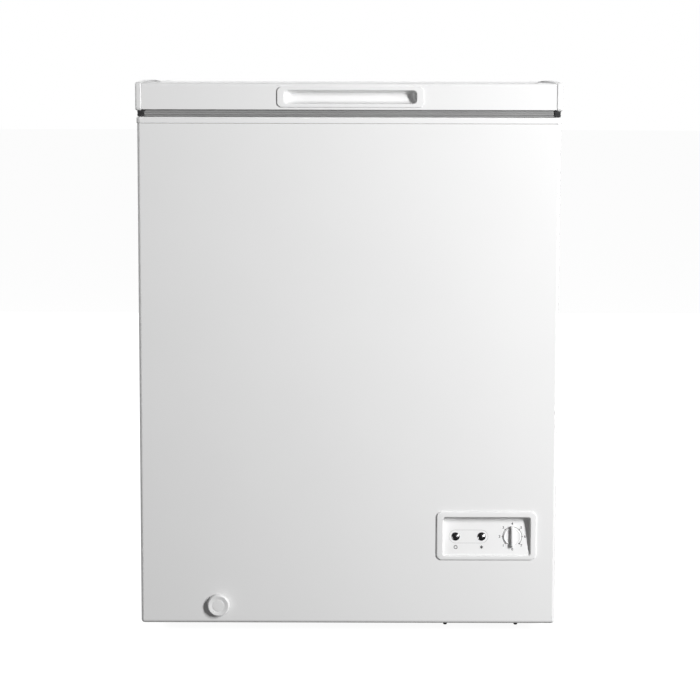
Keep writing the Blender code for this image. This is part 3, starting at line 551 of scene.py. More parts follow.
def louvre(name, low, high, face, depth):
    """A pressed hood over a slot in a vertical sheet, open along its lower edge."""
    columns, rows = 16, 6
    wide, tall = high[0] - low[0], high[1] - low[1]
    work = bmesh.new()
    grid = []
    for i in range(columns + 1):
        share = i / columns
        ends = min(1.0, min(share, 1 - share) / 0.08)
        swell = sin(ends * pi / 2)
        row = []
        for j in range(rows + 1):
            t = j / rows
            out = depth * swell * sin(t * pi / 2)
            row.append(work.verts.new((low[0] + wide * share, face + out, high[1] - tall * t)))
        grid.append(row)
    for first, second in zip(grid, grid[1:]):
        for j in range(rows):
            work.faces.new((first[j], first[j + 1], second[j + 1], second[j]))
    return thicken(new_piece(name, work), 0.0008, 0)


def compressor_cover():
    """The rear cover, with a hole for the cord and a hood over each of its slots."""
    low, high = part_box("compressor_cover")
    thick = high.y - low.y
    (middle_x, middle_z), half = plan(low, high, "x", "z")
    rings = ring_stack((-middle_x, middle_z), half,
                       [(0, 0, 0.003), (0, thick - 0.0003, 0.003), (0.0004, thick, 0.003)], 6)
    plate = loft("cover_plate", rings, at(0, low.y, 0, BACK))
    gland = middle("cord_gland")
    hole = drill(0.0083, at(gland.x, high.y, gland.z, FRONT), 32)
    rows = [0.1025 + 0.015 * row for row in range(9)]
    slots = [block("slot", (0.161, low.y - 0.01, z - 0.0024), (0.269, high.y + 0.01, z + 0.0024))
             for z in rows]
    combine(plate, "DIFFERENCE", hole, *slots)
    hoods = [louvre("hood", (0.158, z - 0.003), (0.272, z + 0.0055), high.y - 0.0004, 0.0045) for z in rows]
    stand_in(merge("compressor_cover_sheet", [plate, *hoods]), "compressor_cover")
    corners = [(x, z) for z in (high.z - 0.012, low.z + 0.012) for x in (low.x + 0.009, high.x - 0.009)]
    for index, (x, z) in enumerate(corners, 1):
        screw = pan_screw(f"cover_screw_{index}", at(x, high.y, z, BACK), 0.0036, 0.0022)
        show(screw, "zinc_steel", "cabinet")


def pan_screw(name, place, radius, height):
    """A pan-head screw with a cross recess, its head on the plane w = 0."""
    head = [(0, 1), (0.55, 0.93), (0.85, 0.66), (1, 0.25), (1, 0), (0.4, 0)]
    profile = [*[(radius * u, height * w) for u, w in head], (radius * 0.4, -0.004), (0, -0.004)]
    screw = turned(name, profile, place, 28)
    arm, narrow = radius * 0.62, radius * 0.14
    bars = [block("cross", (-wide, -tall, height * 0.35), (wide, tall, height * 2), place)
            for wide, tall in ((arm, narrow), (narrow, arm))]
    return combine(screw, "DIFFERENCE", *bars)


def side_grille():
    """A moulded frame with slanting slats on each side of a middle bar."""
    low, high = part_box("side_vent_grille")
    place = at(low.x, 0, 0, ALONG_X)
    centre, half = plan(low, high, "y", "z")
    depth = high.x - low.x
    border, lap, rows = 0.011, 0.001, 14
    frame_profile = [
        (0, 0, 0.003),
        *mm([(0, -1, 3), (0.6, -0.3, 3), (1.6, 0, 3), (10, 0, 1.2), (11, -0.8, 1.2)], (0, depth, 0)),
        (border, 0, 0.0012),
    ]
    parts = [collar("frame", centre, half, frame_profile, place)]
    slat = [(-0.0035, 0), *mm([(2.6, -1.1), (3.2, -0.5), (4, -0.8), (3.4, -1.6)], (0, depth)), (-0.0026, 0)]
    ends = (centre[0] - half[0] + border - lap, centre[0] + half[0] - border + lap)
    pitch = (2 * half[1] - 2 * border) / rows
    for row in range(rows):
        z = centre[1] - half[1] + border + pitch * (row + 0.5)
        path = [(Vector((y, z)), Vector((0, 1))) for y in ends]
        parts.append(sweep("slat", path, slat, False, place))
    bar = [(-0.004, 0), *mm([(-4, -0.4), (-3.4, 0), (3.4, 0), (4, -0.4)], (0, depth)), (0.004, 0)]
    path = [(Vector((centre[0], z)), Vector((1, 0))) for z in (low.z + border - lap, high.z - border + lap)]
    parts.append(sweep("bar", path, bar, False, place))
    stand_in(merge("side_grille", parts), "side_vent_grille")


def rim_trim():
    """The plastic collar round the cabinet's mouth, with the basket's ledge inside."""
    low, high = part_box("top_rim_trim")
    width, ledge = 0.0545, 0.0465
    top = high.z
    profile = [
        *mm([(2, 0, 6), (0.6, 0, 6), (0, 0.6, 6)], (0, low.z, 0)),
        *mm([(0, -2.4, 6), (0.2, -1.4, 6), (0.7, -0.5, 6), (1.7, 0, 6), (10, 0, 8), (10.5, -0.6, 8),
             (12, -0.6, 8), (12.5, 0, 8)], (0, top, 0)),
        *mm([(-0.8, 0, 14), (0, -0.8, 14), (0, -4.5, 14)], (ledge, top, 0)),
        *mm([(-0.6, -4.5, 14), (0, -5.1, 14)], (width, top, 0)),
        (width, low.z, 0.014),
    ]
    stand_in(collar("rim_collar", *plan(low, high), profile), "top_rim_trim")


def liner():
    """The stepped tub, pressed from coated sheet with generous corners."""
    low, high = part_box("inner_liner")
    left, right = low.x + SHEET, high.x - SHEET
    floor, top = low.z + SHEET, high.z
    step_x, step_top = 0.065, 0.3
    outline = [(left, top + 0.03), (left, floor), (step_x, floor), (step_x, step_top), (right, step_top),
               (right, top + 0.03)]
    tub = loft("liner_tub", [[(x, y, z) for x, z in outline] for y in (low.y + SHEET, high.y - SHEET)])
    soften(tub, 0.016, 7)
    above = block("above", (left - 0.05, low.y - 0.05, top), (right + 0.05, high.y + 0.05, top + 0.08))
    combine(tub, "DIFFERENCE", above)
    work = bmesh.new()
    work.from_mesh(tub.data)
    lids = [face for face in work.faces if face.normal.z > 0.99 and face.calc_center_median().z > top - 0.001]
    bmesh.ops.delete(work, geom=lids, context="FACES")
    work.to_mesh(tub.data)
    work.free()
    stand_in(thicken(tub, SHEET, 1.0), "inner_liner")


def underside():
    """The bottom sheets with their stiffening beads."""
    down = Matrix(((1, 0, 0, 0), (0, -1, 0, 0), (0, 0, -1, 0), (0, 0, 0, 1)))
    for node, name, inset in (("base_plate", "base_sheet", 0.11), ("compressor_tray", "tray_sheet", 0.045)):
        low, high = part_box(node)
        (middle_x, middle_y), half = plan(low, high)
        centre = (middle_x, -middle_y)
        bead = (centre, (half[0] - inset, half[1] - 0.14), 0.006, 0.002)
        plate = pressed_plate(name, centre, half, high.z - low.z, bead, at(0, 0, high.z, down), 0.004)
        stand_in(plate, node)


def feet():
    for index in range(1, 5):
        node = f"foot_{index}"
        low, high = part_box(node)
        radius, top, centre = (high.x - low.x) / 2, high.z, middle(node)
        profile = [
            (0, top),
            *mm([(-4.5, 0), (-3.5, -1), (-2.2, -6), (-3, -6.4), (-3, -7.8), (-1.8, -8.2)], (radius, top)),
            *mm([(0, 4.5), (0, 1.2), (-0.8, 0.3), (-2, 0), (-6, 0), (-6.5, 0.6), (-9, 0.6), (-9.5, 0)],
                (radius, 0)),
            (0, 0),
        ]
        stand_in(turned(f"rubber_foot_{index}", profile, at(centre.x, centre.y, 0), 40), node)


def tray_bolts():
    """Hexagon bolt heads with their washers, under the tray's front edge."""
    seat = 0.018
    for side in ("left", "right"):
        node = f"tray_bolt_{side}"
        low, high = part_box(node)
        centre = middle(node)
        place = at(centre.x, centre.y, 0)
        washer = mm([(0, -0.3), (3.4, -0.3), (3.6, -0.6), (3.4, -1), (0, -1)], (0, seat))
        head = [*mm([(0, -0.8), (3.3, -0.9)], (0, seat)), *mm([(3, 1.2), (2.1, 0), (0, 0)], (0, low.z))]
        shank = [*mm([(0, 0), (2.4, 0), (2.9, -0.8)], (0, high.z)), *mm([(2.9, -1), (0, -1)], (0, seat))]
        parts = [turned("washer", washer, place, 32), turned("head", head, place, 6),
                 turned("shank", shank, place, 24)]
        stand_in(merge(f"hex_bolt_{side}", parts), node)


# ---- control panel

PANEL_LOW, PANEL_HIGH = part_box("control_bezel")
BODY_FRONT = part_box("outer_cabinet")[0].y
DIAL = Vector(JOINTS["thermostat_turn"]["pos_m"])
FACE_NORMAL = -Vector(JOINTS["thermostat_turn"]["axis"]).normalized()
FACE_TILT = atan2(FACE_NORMAL.z, -FACE_NORMAL.y)
RECESS = (0.1435, 0.2746, 0.1222, 0.1806)


def on_face(x, up=0):
    """A place on the sloping face, at a distance up the slope from the dial's centre."""
    right = Vector((1, 0, 0))
    rise = FACE_NORMAL.cross(right)
    turn = Matrix((right, rise, FACE_NORMAL)).transposed().to_4x4()
    return Matrix.Translation(Vector((x, DIAL.y, DIAL.z)) + rise * up) @ turn


def control_bezel():
    """The raised frame round a recess whose face slopes back towards the top."""
    proud = BODY_FRONT - PANEL_LOW.y

    def face(lift):
        return lambda x, z: (BODY_FRONT - DIAL.y) - tan(FACE_TILT) * (z - DIAL.z) + lift

    outside = shrinking(0.0085, 0.001, [
        (0.006, -0.017), (0.006, -GAP), (0.0004, GAP), (0, 0.0008),
        *mm([(0.1, -1.5), (0.5, -0.8), (1.1, -0.5), (2, -0.3)], (0, proud)),
    ])
    recess = shrinking(0.0032, 0.0008, [
        *mm([(-2.2, 0), (-0.9, -0.2), (-0.2, -0.9), (0, -1.8)], (0, proud)),
        (0.0001, face(0.0004)), (0.0006, face(0.0001)), (0.0012, face(0)),
    ])
    rings = ring_stack(*plan(PANEL_LOW, PANEL_HIGH, "x", "z"), outside) + ring_stack(*about(*RECESS), recess)
    bezel = loft("panel_bezel", rings, at(0, BODY_FRONT, 0, FRONT))
    stand_in(bezel, "control_bezel")


def flat_band(name, points, width, place, closed=False):
    """A printed line of even width along flat points."""
    count = len(points)
    path = []
    for i, point in enumerate(points):
        before = points[(i - 1) % count] if closed else points[max(i - 1, 0)]
        after = points[(i + 1) % count] if closed else points[min(i + 1, count - 1)]
        path.append((Vector(point), right_of(before, after)))
    edge, under, over = width / 2, 0.00002, 0.00008
    profile = [(-edge, under), (edge, under), (edge, over), (-edge, over)]
    return sweep(name, path, profile, closed, place)


def numeral(text, place, u, v, height):
    """One printed figure, centred on (u, v)."""
    font = bpy.data.curves.new("figure", "FONT")
    font.body = text
    font.size = height
    font.extrude = 0.00003
    font.offset = 0.0001
    font.align_x = font.align_y = "CENTER"
    piece = linked("figure", font)
    piece.matrix_world = place @ at(u, v, 0.00005)
    return as_mesh(piece)


def dial_marks():
    """The scale: an arc, open below, with a tick and a figure at each eighth of a turn from the bottom."""
    place = on_face(DIAL.x)
    scale, figures = 0.0146, 0.0192
    parts = [flat_band("arc", arc_points((0, 0), scale, 229, -49, 60), 0.00065, place)]
    for index in range(8):
        angle = radians(270 - 45 * index)
        u, v = cos(angle), sin(angle)
        ends = [(u * reach, v * reach) for reach in (scale - 0.0008, scale + 0.0014)]
        parts.append(flat_band("tick", ends, 0.001, place))
        parts.append(numeral(str(index), place, u * figures, v * figures, 0.0052))
    show(merge("dial_scale", parts), "ink", "cabinet", slot="black_plastic")


def lamp_marks():
    """The symbols under the two lamps, and the thin outline that holds the lamps together."""
    power, run = middle("power_lamp").x, middle("run_lamp").x
    below = -0.016
    place = on_face(power, below)
    ring = flat_band("power_symbol", arc_points((0, 0), 0.0024, 0, 345, 23), 0.001, place, True)
    show(ring, "ink", "cabinet", slot="black_plastic")
    place = on_face(run, below)
    arms = [turned("middle", mm([(0, 0.09), (1.3, 0.09), (1.3, 0.02), (0, 0.02)]), place, 20)]
    for index in range(6):
        angle = radians(30 + 60 * index)
        tip = (0.0026 * cos(angle), 0.0026 * sin(angle))
        arms.append(flat_band("arm", [(0, 0), tip], 0.0009, place))
    show(merge("freeze_symbol", arms), "ink", "cabinet", slot="black_plastic")
    half = (run - power) / 2
    place = on_face((power + run) / 2, 0)
    radius = 0.0098
    outline = [*arc_points((half, 0), radius, -90, 90, 20), *arc_points((-half, 0), radius, 90, 270, 20)]
    # A thin pale grey line drawn all round the two lamps, even on every side.
    line = flat_band("lamp_outline", outline, 0.0004, place, True)
    show(line, "pale_grey_line", "cabinet", slot="grey_plastic")


def lamps():
    """Dark lenses with a blunt conical front, in a narrow collar."""
    lens = mm([(0, 2.1), (0.5, 2.05), (1.1, 1.9), (4.8, 0.8), (5.3, 0.6), (5.6, 0.7), (6, 0.6), (6.3, 0.3),
               (4.8, 0.3), (4.8, -13), (0, -13)])
    for node, name in (("power_lamp", "power_lens"), ("run_lamp", "run_lens")):
        stand_in(turned(name, lens, on_face(middle(node).x)), node)


def knob():
    """A low disc with a fin to grip, at 0 on the scale."""
    place = on_face(DIAL.x)
    disc = turned("dial_knob", mm([(0, 1.2), (10.2, 1.2), (11, 1.4), (12.1, 1.8), (12.7, 1.5), (13, 0.9),
                                   (13, 0.3), (0, 0.3)]), place, 72)
    half_width, half_length, height = 0.002, 0.0158, 0.0076
    rings = []
    for w, spread in ((GAP, 0.0006), (0.003, 0.0004), (height - 0.0016, 0.0001), (height - 0.0006, -0.0002),
                      (height - 0.0001, -0.0008), (height, -0.0014)):
        wide = half_width + spread
        rings.append(rect_ring(wide, half_length + spread * 0.5, min(wide, 0.0021), w))
    combine(disc, "UNION", loft("fin", rings, place))
    stand_in(disc, "thermostat_knob")


# ---- drain

def drain():
    """The outlet: a flange, a tube that slides in it, and a cap with a notched edge and a pip."""
    low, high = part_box("drain_cap")
    centre = middle("drain_cap")
    place = at(centre.x, BODY_FRONT, centre.z, FRONT)
    front, back = BODY_FRONT - low.y, 0.0021
    radius = (high - low).x / 2
    cap = [
        *mm([(0, -0.8), (7.8, -0.8), (8.4, -0.9), (8.8, -1), (9.3, -1.1), (10.4, -0.9), (12.2, -0.4),
             (13.8, -0.1), (14.8, 0), (15.6, -0.4), (16.2, -1.2), (16.6, -2.6), (16.9, -4.2)], (0, front)),
        (radius, front - 0.0054), (radius - 0.0001, back + 0.0006), (radius - 0.0006, back), (0, back),
    ]
    dial = turned("drain_dial", cap, place, 72)
    pip_place = place @ Matrix.Rotation(radians(231), 4, "Z") @ at(0.0112, 0, 0)
    pip = mm([(0, 0.1), (0.7, -0.1), (1.2, -0.6), (1.3, -3), (0, -3)], (0, front))
    combine(dial, "UNION", turned("pip", pip, pip_place, 20))
    notch, count = mm([(0, 2), (1, 1.6), (1, -1), (0, -1)]), 24
    notches = []
    for index in range(count):
        spot = place @ Matrix.Rotation(index / count * tau, 4, "Z") @ at(radius + 0.0004, 0, back)
        notches.append(turned("notch", notch, spot, 10))
    combine(dial, "DIFFERENCE", *notches)
    stand_in(dial, "drain_cap")
    flange = mm([(14, 0.3), (14.8, 0.6), (14.5, 1.4), (13.8, 1.8), (9.5, 1.8), (9.3, 1.4), (9.3, -21.5),
                 (12, -21.5), (12, 0.3)])
    stand_in(hollow_turned("drain_flange", flange, place, 56), "drain_socket")
    spout = mm([(8.6, 1.8), (9, 1.4), (9, -18), (8.7, -18.3), (8.7, -20), (9, -20.3), (9, -28), (8.7, -28.5),
                (6.8, -28.5), (6.5, -28), (6.5, 1.4), (6.8, 1.8)])
    stand_in(hollow_turned("drain_outlet_tube", spout, place, 56), "drain_spout")


def drain_plug():
    """A rubber plug in the tub's floor, with a stem to pull and a skirt in the hole."""
    centre, top = middle("inner_drain_plug"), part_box("inner_drain_plug")[1].z
    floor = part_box("inner_liner")[0].z + SHEET
    profile = [
        *mm([(0, 0), (2.2, -0.1), (3.6, -0.6), (4.2, -1.8), (4, -3)], (0, top - floor)),
        *mm([(3.2, 6), (4, 4.6), (9.8, 4), (10.7, 3.4), (11, 2.4), (10.8, 0.8), (10.2, 0.3), (4.8, 0.3),
             (4.7, -3), (4.9, -3.6), (4.6, -4.2), (4.3, -9.4), (3.6, -10), (0, -10)]),
    ]
    stand_in(turned("floor_plug", profile, at(centre.x, centre.y, floor)), "inner_drain_plug")


# ---- lid

LID_LOW, LID_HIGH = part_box("lid_skin")


def lid_shell():
    """The painted top sheet, folded down at the front and rear, its front lower edge hemmed."""
    base, top = LID_LOW.z, LID_HIGH.z
    corners = [(LID_HIGH.y, base), (LID_HIGH.y, top), (LID_LOW.y, top), (LID_LOW.y, base)]
    path = bent_path(corners, 0.0042, 8)
    outer = [point for point, _ in path]
    inner = [point - out * SHEET for point, out in path]
    hem = [Vector(point) for point in mm([(1.2, 0.2), (2.2, 1), (2.2, 6)], (LID_LOW.y, base))]
    outline = [*outer, *hem, *reversed(inner[:-1])]
    shell = loft("lid_sheet", [[(x, *point) for point in outline] for x in (LID_LOW.x, LID_HIGH.x)])
    room = 0.0023
    slot = block("slot", (POCKET[0] - room, LID_LOW.y - 0.02, POCKET[2] - room),
                 (POCKET[1] + room, LID_LOW.y + 0.02, POCKET[3] + room))
    combine(shell, "DIFFERENCE", slot)
    stand_in(shell, "lid_skin")


POCKET = (-0.095, 0.099, 0.8, 0.8187)


def cap_lip(outer, sign, width):
    """The lip on an end cap: it swells up from the front and dies away past the middle, over a groove."""
    base, rise, least = LID_HIGH.z - 0.0006, 0.0042, 0.0004
    start, length, steps = LID_LOW.y + 0.002, 0.34, 26
    section = [
        (0.0004, 0), (0.0006, 0.5), (0.002, 0.95), (0.0032, 1.0), (width + 0.0012, 1.0),
        (width + 0.0016, 0.9), (width + 0.0013, 0.78), (width - 0.0024, 0.74), (width - 0.0026, 0),
    ]
    rings = []
    for step in range(steps + 1):
        share = step / steps
        height = least + (rise - least) * sin(pi * share) ** 0.75
        y = start + length * share
        rings.append([(outer - sign * inward, y, base + height * up) for inward, up in section])
    return loft("lip", rings)


def end_caps():
    """Moulded caps over the ends of the lid's sheet, with a shallow panel on their outer face."""
    proud = 0.0009
    for side, sign in (("left", -1), ("right", 1)):
        node = f"lid_end_cap_{side}"
        low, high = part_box(node)
        outer, width = high.x if sign > 0 else low.x, high.x - low.x
        centre, half = about(low.y, high.y, low.z, LID_HIGH.z)
        rows = [(proud, -width), (0, -width + 0.0013),
                *mm([(0, -2.6), (0.3, -1.4), (1, -0.5), (2, 0), (7, 0), (7.6, -0.2), (8, -0.8), (8.6, -1)])]
        rings = ring_stack(centre, [extent + proud for extent in half], shrinking(0.0045, 0.0015, rows))
        place = at(outer, 0, 0, ALONG_X) @ Matrix.Diagonal((1, 1, sign, 1))
        cap = merge(f"end_cap_{side}", [loft("cap", rings, place), cap_lip(outer, sign, width)])
        stand_in(cap, node)


def gasket():
    """A bellows seal: a magnet strip below, two folds above it, and a flat foot under the lid."""
    low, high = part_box("lid_gasket")
    tall = high.z - low.z
    face = mm([
        (1.2, 0), (0.3, 0.4), (0, 0.9), (0.3, 1.4), (2, 1.8), (2.3, 2.3), (1.8, 2.8), (0.2, 3.1), (0, 3.5),
        (0.6, 4.1), (1.8, 4.6), (2.4, 5.3), (1.8, 6), (0.8, 6.6), (0.5, 7.2), (0.9, 7.8), (2, 8.3),
        (2.4, 8.8), (2, 9.3), (1.4, 9.6),
    ])
    back = mm([(20, 10), (17, 8), (19, 6.2), (16.5, 4.4), (20, 3.4), (20.5, 0.6), (19.5, 0)])
    profile = [(u, low.z + w, 0.0012) for u, w in (*face, (0.0014, tall))]
    profile += [(u, low.z + w, 0.003) for u, w in ((0.02, tall), *back)]
    stand_in(collar("bellows_seal", *plan(low, high), profile), "lid_gasket")


def bumpers():
    lap = 0.0005
    for side, sign in (("left", -1), ("right", 1)):
        node = f"lid_bumper_{side}"
        low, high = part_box(node)
        height = high.z - low.z
        (middle_x, middle_y), (half_x, half_y) = plan(low, high)
        rows = [(0.0012, 0), (0.0004, 0.0004), (0, 0.0012), (0, height * 0.42), (0.0006, height * 0.46),
                (0.0006, height * 0.54), (0, height * 0.58), (0, height - 0.0008), (0.0006, height)]
        rings = ring_stack((middle_x - sign * lap, middle_y), (half_x + lap, half_y),
                           [(*row, 0.0018) for row in rows], 6)
        stand_in(loft(f"corner_bumper_{side}", rings, at(0, 0, low.z)), node)


def handle():
    """The scoop in the lid's front: a thin bezel round a pocket whose back slopes in towards the top."""
    low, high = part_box("handle_pocket")
    bottom, top = POCKET[2:]
    pocket_centre, pocket_half = about(*POCKET)
    proud = LID_LOW.y - low.y
    shallow, deep, behind = 0.0095, 0.0168, 0.0235
    end_curve, edge_curve, steps = 0.009, 0.0046, 8

    def pocket_ring(inset_u, inset_v, height, radius):
        return rect_ring(pocket_half[0] - inset_u, pocket_half[1] - inset_v, radius, height, pocket_centre, 8)

    def into(share):
        """A share of the pocket's depth, which grows from its bottom edge to its top edge."""
        return lambda x, z: -share * (shallow + (deep - shallow) * (z - bottom) / (top - bottom))

    bezel = [(0.0004, GAP), (0, 0.0006), *mm([(0.2, -0.7), (0.9, -0.1), (1.8, 0)], (0, proud))]
    shell = [(0.001, 0.001, -behind, 0.003), (-0.0018, -0.0018, -behind + 0.003, 0.005),
             (-0.0018, -0.0018, -GAP, 0.006)]
    mouth = [(-0.0022, -0.002, proud, 0.007), (-0.0012, -0.001, proud - 0.0002, 0.0064),
             (-0.0004, -0.0003, proud - 0.001, 0.006), (0.0001, 0.0001, 0, 0.0057)]
    rings = [pocket_ring(*row) for row in shell]
    rings += ring_stack(*plan(low, high, "x", "z"), shrinking(0.0075, 0.001, bezel))
    rings += [pocket_ring(*row) for row in mouth]
    for step in range(1, steps + 1):
        angle = radians(90 * step / steps)
        bend = 1 - cos(angle)
        radius = 0.0056 - 0.0022 * bend
        rings.append(pocket_ring(end_curve * bend, edge_curve * bend, into(sin(angle)), radius))
    stand_in(loft("scoop_handle", rings, at(0, LID_LOW.y, 0, FRONT)), "handle_pocket")


def lid_pan():
    """The centre and the half sizes of the pan under the lid, which dips into the cabinet's mouth."""
    low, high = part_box("inner_liner")
    return (0, (low.y + high.y) / 2), (high.x - 0.022, (high.y - low.y) / 2 - 0.016)


def lid_foam():
    """The foam that fills the lid and the pan, round the handle's pocket."""
    low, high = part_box("lid_foam")
    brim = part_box("lid_inner_panel")[1].z + GAP
    rings = ring_stack(*lid_pan(), [(0.012, low.z, 0.012), (0.0085, low.z + 0.0015, 0.0155),
                                    (0.0055, low.z + 0.006, 0.018), (0.005, brim, 0.019)])
    rings += ring_stack(*plan(low, high), [(0, brim, 0.003), (0, high.z, 0.003)])
    core = loft("lid_core", rings)
    pocket_low, pocket_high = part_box("handle_pocket")
    notch = block("notch", (pocket_low.x, low.y - 0.02, pocket_low.z),
                  (pocket_high.x, pocket_high.y + GAP, pocket_high.z))
    stand_in(combine(core, "DIFFERENCE", notch), "lid_foam")


def lid_inner_panel():
    """The moulded underside of the lid: a flange for the seal, and a deep pan with a bead in its floor."""
    low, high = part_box("lid_inner_panel")
    wall = 0.0015
    flange_z = high.z - wall
    depth = flange_z - low.z
    rows = [(-0.006, 0, 0.026), *[(inset, drop, 0.02) for inset, drop in (
        (-0.003, 0.0006), (-0.001, 0.0024), (0, 0.005), (0.002, depth - 0.006), (0.0034, depth - 0.0024),
        (0.006, depth - 0.0005), (0.01, depth))], *[(inset, depth - rise, 0.05) for inset, rise in (
            (0.036, 0), (0.0372, 0.0003), (0.039, 0.0009), (0.0402, 0.0011), (0.042, 0.0012))]]
    flange = ring_stack(*plan(low, high), [(0, flange_z, 0.003)])
    pan = ring_stack(*lid_pan(), [(inset, flange_z - drop, max(radius - inset, 0.004))
                                  for inset, drop, radius in rows])
    panel = loft("lid_underside", flange + pan, caps=(-1,))
    thicken(panel, wall, -1.0 if panel.data.polygons[0].normal.z < 0 else 1.0)
    stand_in(panel, "lid_inner_panel")


# ---- hinges

HINGE = Vector(JOINTS["lid_hinge"]["pos_m"])


def extruded(name, outline, low_x, high_x, edge):
    """A flat part of (Y, Z) points between two X planes, its edges softened."""
    rings = [[(x, y, z) for y, z in outline] for x in (low_x, high_x)]
    return soften(loft(name, rings), edge, 2)


def leaf(x, y, bottom, top, half_width, radius):
    """A flat plate on the rear of the freezer, its outer edges rounded over."""
    rows = [(0, 0, radius), (0, 0.0014, radius), (0.0002, 0.0018, radius), (0.0006, 0.002, radius)]
    rings = ring_stack(*about(-half_width, half_width, bottom, top), rows, 6)
    return loft("leaf", rings, at(x, y, 0, BACK))


def hinge_bracket(side, x):
    low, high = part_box(f"hinge_bracket_{side}")
    y = low.y
    radius = high.y - HINGE.y
    outline = [(y + 0.001, 0.737), (y + 0.001, 0.763), (HINGE.y - radius, 0.7695),
               *arc_points((HINGE.y, HINGE.z), radius, 180, 0, 16),
               (high.y, 0.764), (high.y - 0.003, 0.755), (y + 0.004, 0.737)]
    parts = [leaf(x, y, low.z, 0.7665, 0.03, 0.006)]
    parts += [extruded("ear", outline, x + start, x + start + 0.003, 0.0005) for start in (0.0183, -0.0213)]
    rib = [(y + 0.001, 0.722), (y + 0.001, 0.764), (y + 0.0045, 0.76), (y + 0.0045, 0.728)]
    for start in (x - 0.006, x + 0.006):
        parts.append(extruded("rib", rib, start - 0.0015, start + 0.0015, 0.0006))
    stand_in(merge(f"hinge_leaf_{side}", parts), f"hinge_bracket_{side}")


def hinge_arm(side, x):
    low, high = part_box(f"hinge_arm_{side}")
    end = mm([(3.3, 17.6), (3.6, 18), (5.8, 18), (6.2, 17.6)])
    barrel_profile = [*[(radius, -w) for radius, w in end], *reversed(end)]
    barrel = hollow_turned("barrel", barrel_profile, at(x, HINGE.y, HINGE.z, ALONG_X), 40)
    outline = [(low.y + 0.0002, HINGE.z + 0.0035),
               *mm([(-2, 4.5), (0, 6), (0, 4), (-4, 1.2)], (HINGE.y, HINGE.z)),
               (low.y + 0.0002, HINGE.z + 0.0012)]
    web = extruded("web", outline, x - 0.016, x + 0.016, 0.0003)
    parts = [barrel, leaf(x, low.y, low.z + 0.008, high.z, 0.016, 0.004), web]
    stand_in(merge(f"hinge_strap_{side}", parts), f"hinge_arm_{side}")
    for index, z in enumerate((0.802, 0.817), 1):
        screw = pan_screw(f"strap_screw_{side}_{index}", at(x, low.y + 0.0021, z, BACK), 0.0034, 0.002)
        show(screw, "zinc_steel", "lid")


def hinge_pin(side, x):
    profile = mm([(0, 24.4), (1.4, 24.3), (2.6, 23.8), (3, 23), (3, -21.7), (4.6, -21.7), (4.8, -22.2),
                  (4.5, -23.2), (3.4, -23.8), (0, -24)])
    pin = turned(f"pin_{side}", profile, at(x, HINGE.y, HINGE.z, ALONG_X), 32)
    stand_in(pin, f"hinge_pin_{side}")


def hinges():
    for side in ("left", "right"):
        x = middle(f"hinge_arm_{side}").x
        hinge_bracket(side, x)
        hinge_arm(side, x)
        hinge_pin(side, x)
    for index in range(1, 5):
        node = f"hinge_screw_{index}"
        low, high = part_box(node)
        centre = middle(node)
        place = at(centre.x, high.y - 0.0022, centre.z, BACK)
        stand_in(pan_screw(f"bracket_screw_{index}", place, 0.004, 0.0022), node)


# ---- cord gland and basket

def cord_gland():
    centre = middle("cord_gland")
    profile = mm([(4.5, -6), (8, -6), (8, 0.2), (10.5, 0.3), (11.2, 1), (11, 2.4), (10, 3.2), (8.4, 3.6),
                  (7.6, 4.4), (6.6, 4.8), (5.2, 4.8), (4.5, 4.2)])
    place = at(centre.x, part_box("compressor_cover")[1].y, centre.z, BACK)
    stand_in(hollow_turned("cord_bush", profile, place, 40), "cord_gland")


def basket():
    """Welded wire: a rim and hooks of thick wire, and thin wires down the sides and across the bottom."""
    low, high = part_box("wire_basket")
    thick, thin = 0.0022, 0.0013
    front, rear = -0.2195 + thick, 0.2075 - thick
    left, right = low.x + thick, high.x - thick
    rim, floor, hook_z = 0.755 - thick, low.z + thin, high.z - thick
    inset, hook_in, bend = 0.006, 0.022, 0.015
    centre, half = about(left, right, front, rear)
    corner_steps = [point for point, _ in ring_path(*half, 0.018, 8, centre)]

    def loop(z):
        return [(p.x, p.y, z) for p in (*corner_steps, *corner_steps[:2])]

    heavy, light = [loop(rim)], [loop(rim - (rim - floor) * 0.45)]
    across, along = 9, 17
    for index in range(across):
        x = left + 0.02 + (right - left - 0.04) * index / (across - 1)
        light.append(rounded([(x, front + thin, rim), (x, front + inset, floor), (x, rear - inset, floor),
                              (x, rear - thin, rim)], bend))
    for index in range(along):
        y = front + 0.02 + (rear - front - 0.04) * index / (along - 1)
        light.append(rounded([(left + thin, y, rim), (left + inset, y, floor + 2 * thin),
                              (right - inset, y, floor + 2 * thin), (right - thin, y, rim)], bend))
    first, last = left + hook_in, right - hook_in
    for y, out in ((front, low.y + thick), (rear, high.y - thick)):
        heavy.append(rounded([(first, y, rim), (first, y, hook_z), (first, out, hook_z), (last, out, hook_z),
                              (last, y, hook_z), (last, y, rim)], 0.004))
    parts = [wires("heavy", heavy, thick, 4), wires("light", light, thin, 3)]
    stand_in(merge("basket_wires", parts), "wire_basket")


# ---- inner pieces that keep their CAD shape

def dress_cad_nodes():
    """Gives every CAD node that still shows the material of its slot."""
    for name, slot in SLOTS.items():
        node = frame["nodes"][name]
        if not node.hide_render:
            node.data.materials.clear()
            node.data.materials.append(LOOKS[slot])


# ---- stage

def area_light(name, place, target, width, height, power):
    light = bpy.data.lights.new(name, "AREA")
    light.shape = "RECTANGLE"
    light.size = width
    light.size_y = height
    light.energy = power
    lamp = linked(name, light)
    lamp.location = place
    lamp.rotation_euler = (Vector(target) - Vector(place)).to_track_quat("-Z", "Y").to_euler()


AMBIENT = 0.138


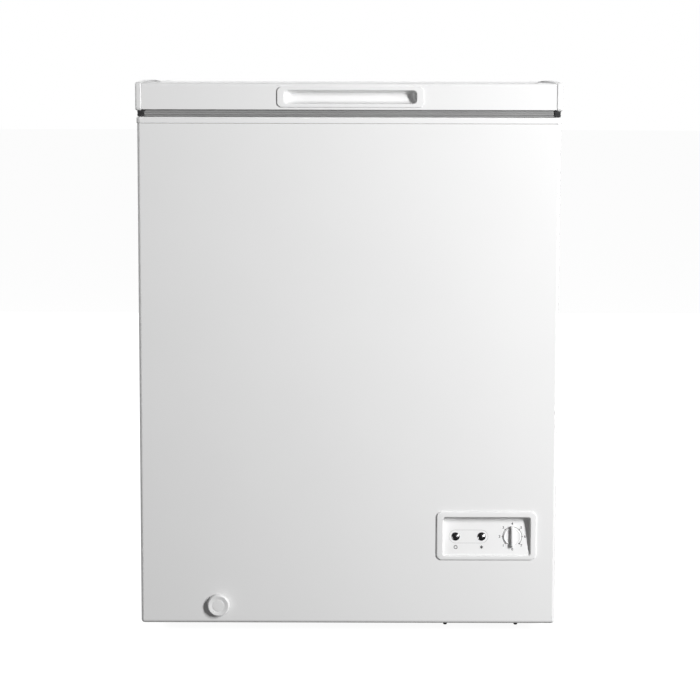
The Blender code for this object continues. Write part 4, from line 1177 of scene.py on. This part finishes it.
def make_world():
    """A white backdrop for the camera, and a dimmer even light for everything else."""
    world = bpy.data.worlds.new("studio")
    world.use_nodes = True
    sky = world.node_tree.nodes["Background"]
    sky.inputs["Color"].default_value = (1.0, 1.0, 1.0, 1.0)
    level = new_node(world, "ShaderNodeMapRange", To_Min=AMBIENT, To_Max=1.0)
    join(world, new_node(world, "ShaderNodeLightPath").outputs["Is Camera Ray"], level.inputs["Value"])
    join(world, level.outputs["Result"], sky.inputs["Strength"])
    bpy.context.scene.world = world


def make_floor():
    work = bmesh.new()
    bmesh.ops.create_circle(work, cap_ends=True, segments=96, radius=30.0)
    floor = new_piece("floor", work)
    floor.location.z = -0.0002
    pale = bpy.data.materials.new("pale_floor")
    pale.use_nodes = True
    set_inputs(pale.node_tree.nodes["Principled BSDF"], Base_Color=(0.30, 0.30, 0.30, 1), Roughness=1.0,
               Specular_IOR_Level=0.0, Emission_Color=(1.0, 1.0, 1.0, 1), Emission_Strength=0.93)
    floor.data.materials.append(pale)
    floor.visible_diffuse = False
    floor.visible_glossy = False


def make_stage():
    """A tall soft box in front at the right, a backdrop, and weak lights at the left and overhead."""
    make_world()
    make_floor()
    area_light("key", (1.85, -2.2, 1.28), (0.0, -0.27, 0.72), 0.40, 1.40, 99)
    area_light("backdrop", (0.0, 4.0, 1.6), (0.0, 0.28, 0.9), 6.0, 3.2, 92)
    area_light("top", (0.0, 0.5, 2.7), (0.0, 0.05, 0.8), 1.6, 1.0, 3)
    area_light("left", (-2.6, 0.6, 1.6), (-0.31, 0.0, 0.4), 1.0, 1.0, 44)
    bpy.context.scene.view_settings.view_transform = "Standard"


def make_camera():
    """The photograph's viewpoint: a long lens level with the lid, tipped down, and turned a trace."""
    lens = bpy.data.cameras.new("camera")
    lens.sensor_width = 36.0
    lens.lens = 115.44
    lens.clip_end = 100.0
    camera = linked("camera", lens)
    tip = Matrix.Rotation(radians(90 - 7.06), 4, "X")
    roll = Matrix.Rotation(radians(0.142), 4, "Z")
    camera.matrix_world = at(0.00223, -3.60035, 0.846) @ tip @ roll
    bpy.context.scene.camera = camera


def main():
    make_camera()
    make_stage()
    for build in (
        cabinet_shell, rear_panel, compressor_cover, side_grille, rim_trim, liner, underside, feet,
        tray_bolts, control_bezel, dial_marks, lamp_marks, lamps, knob, drain, drain_plug,
        lid_shell, end_caps, gasket, bumpers, handle, lid_foam, lid_inner_panel,
        hinges, cord_gland, basket, dress_cad_nodes,
    ):
        build()


main()
bpy.context.view_layer.update()
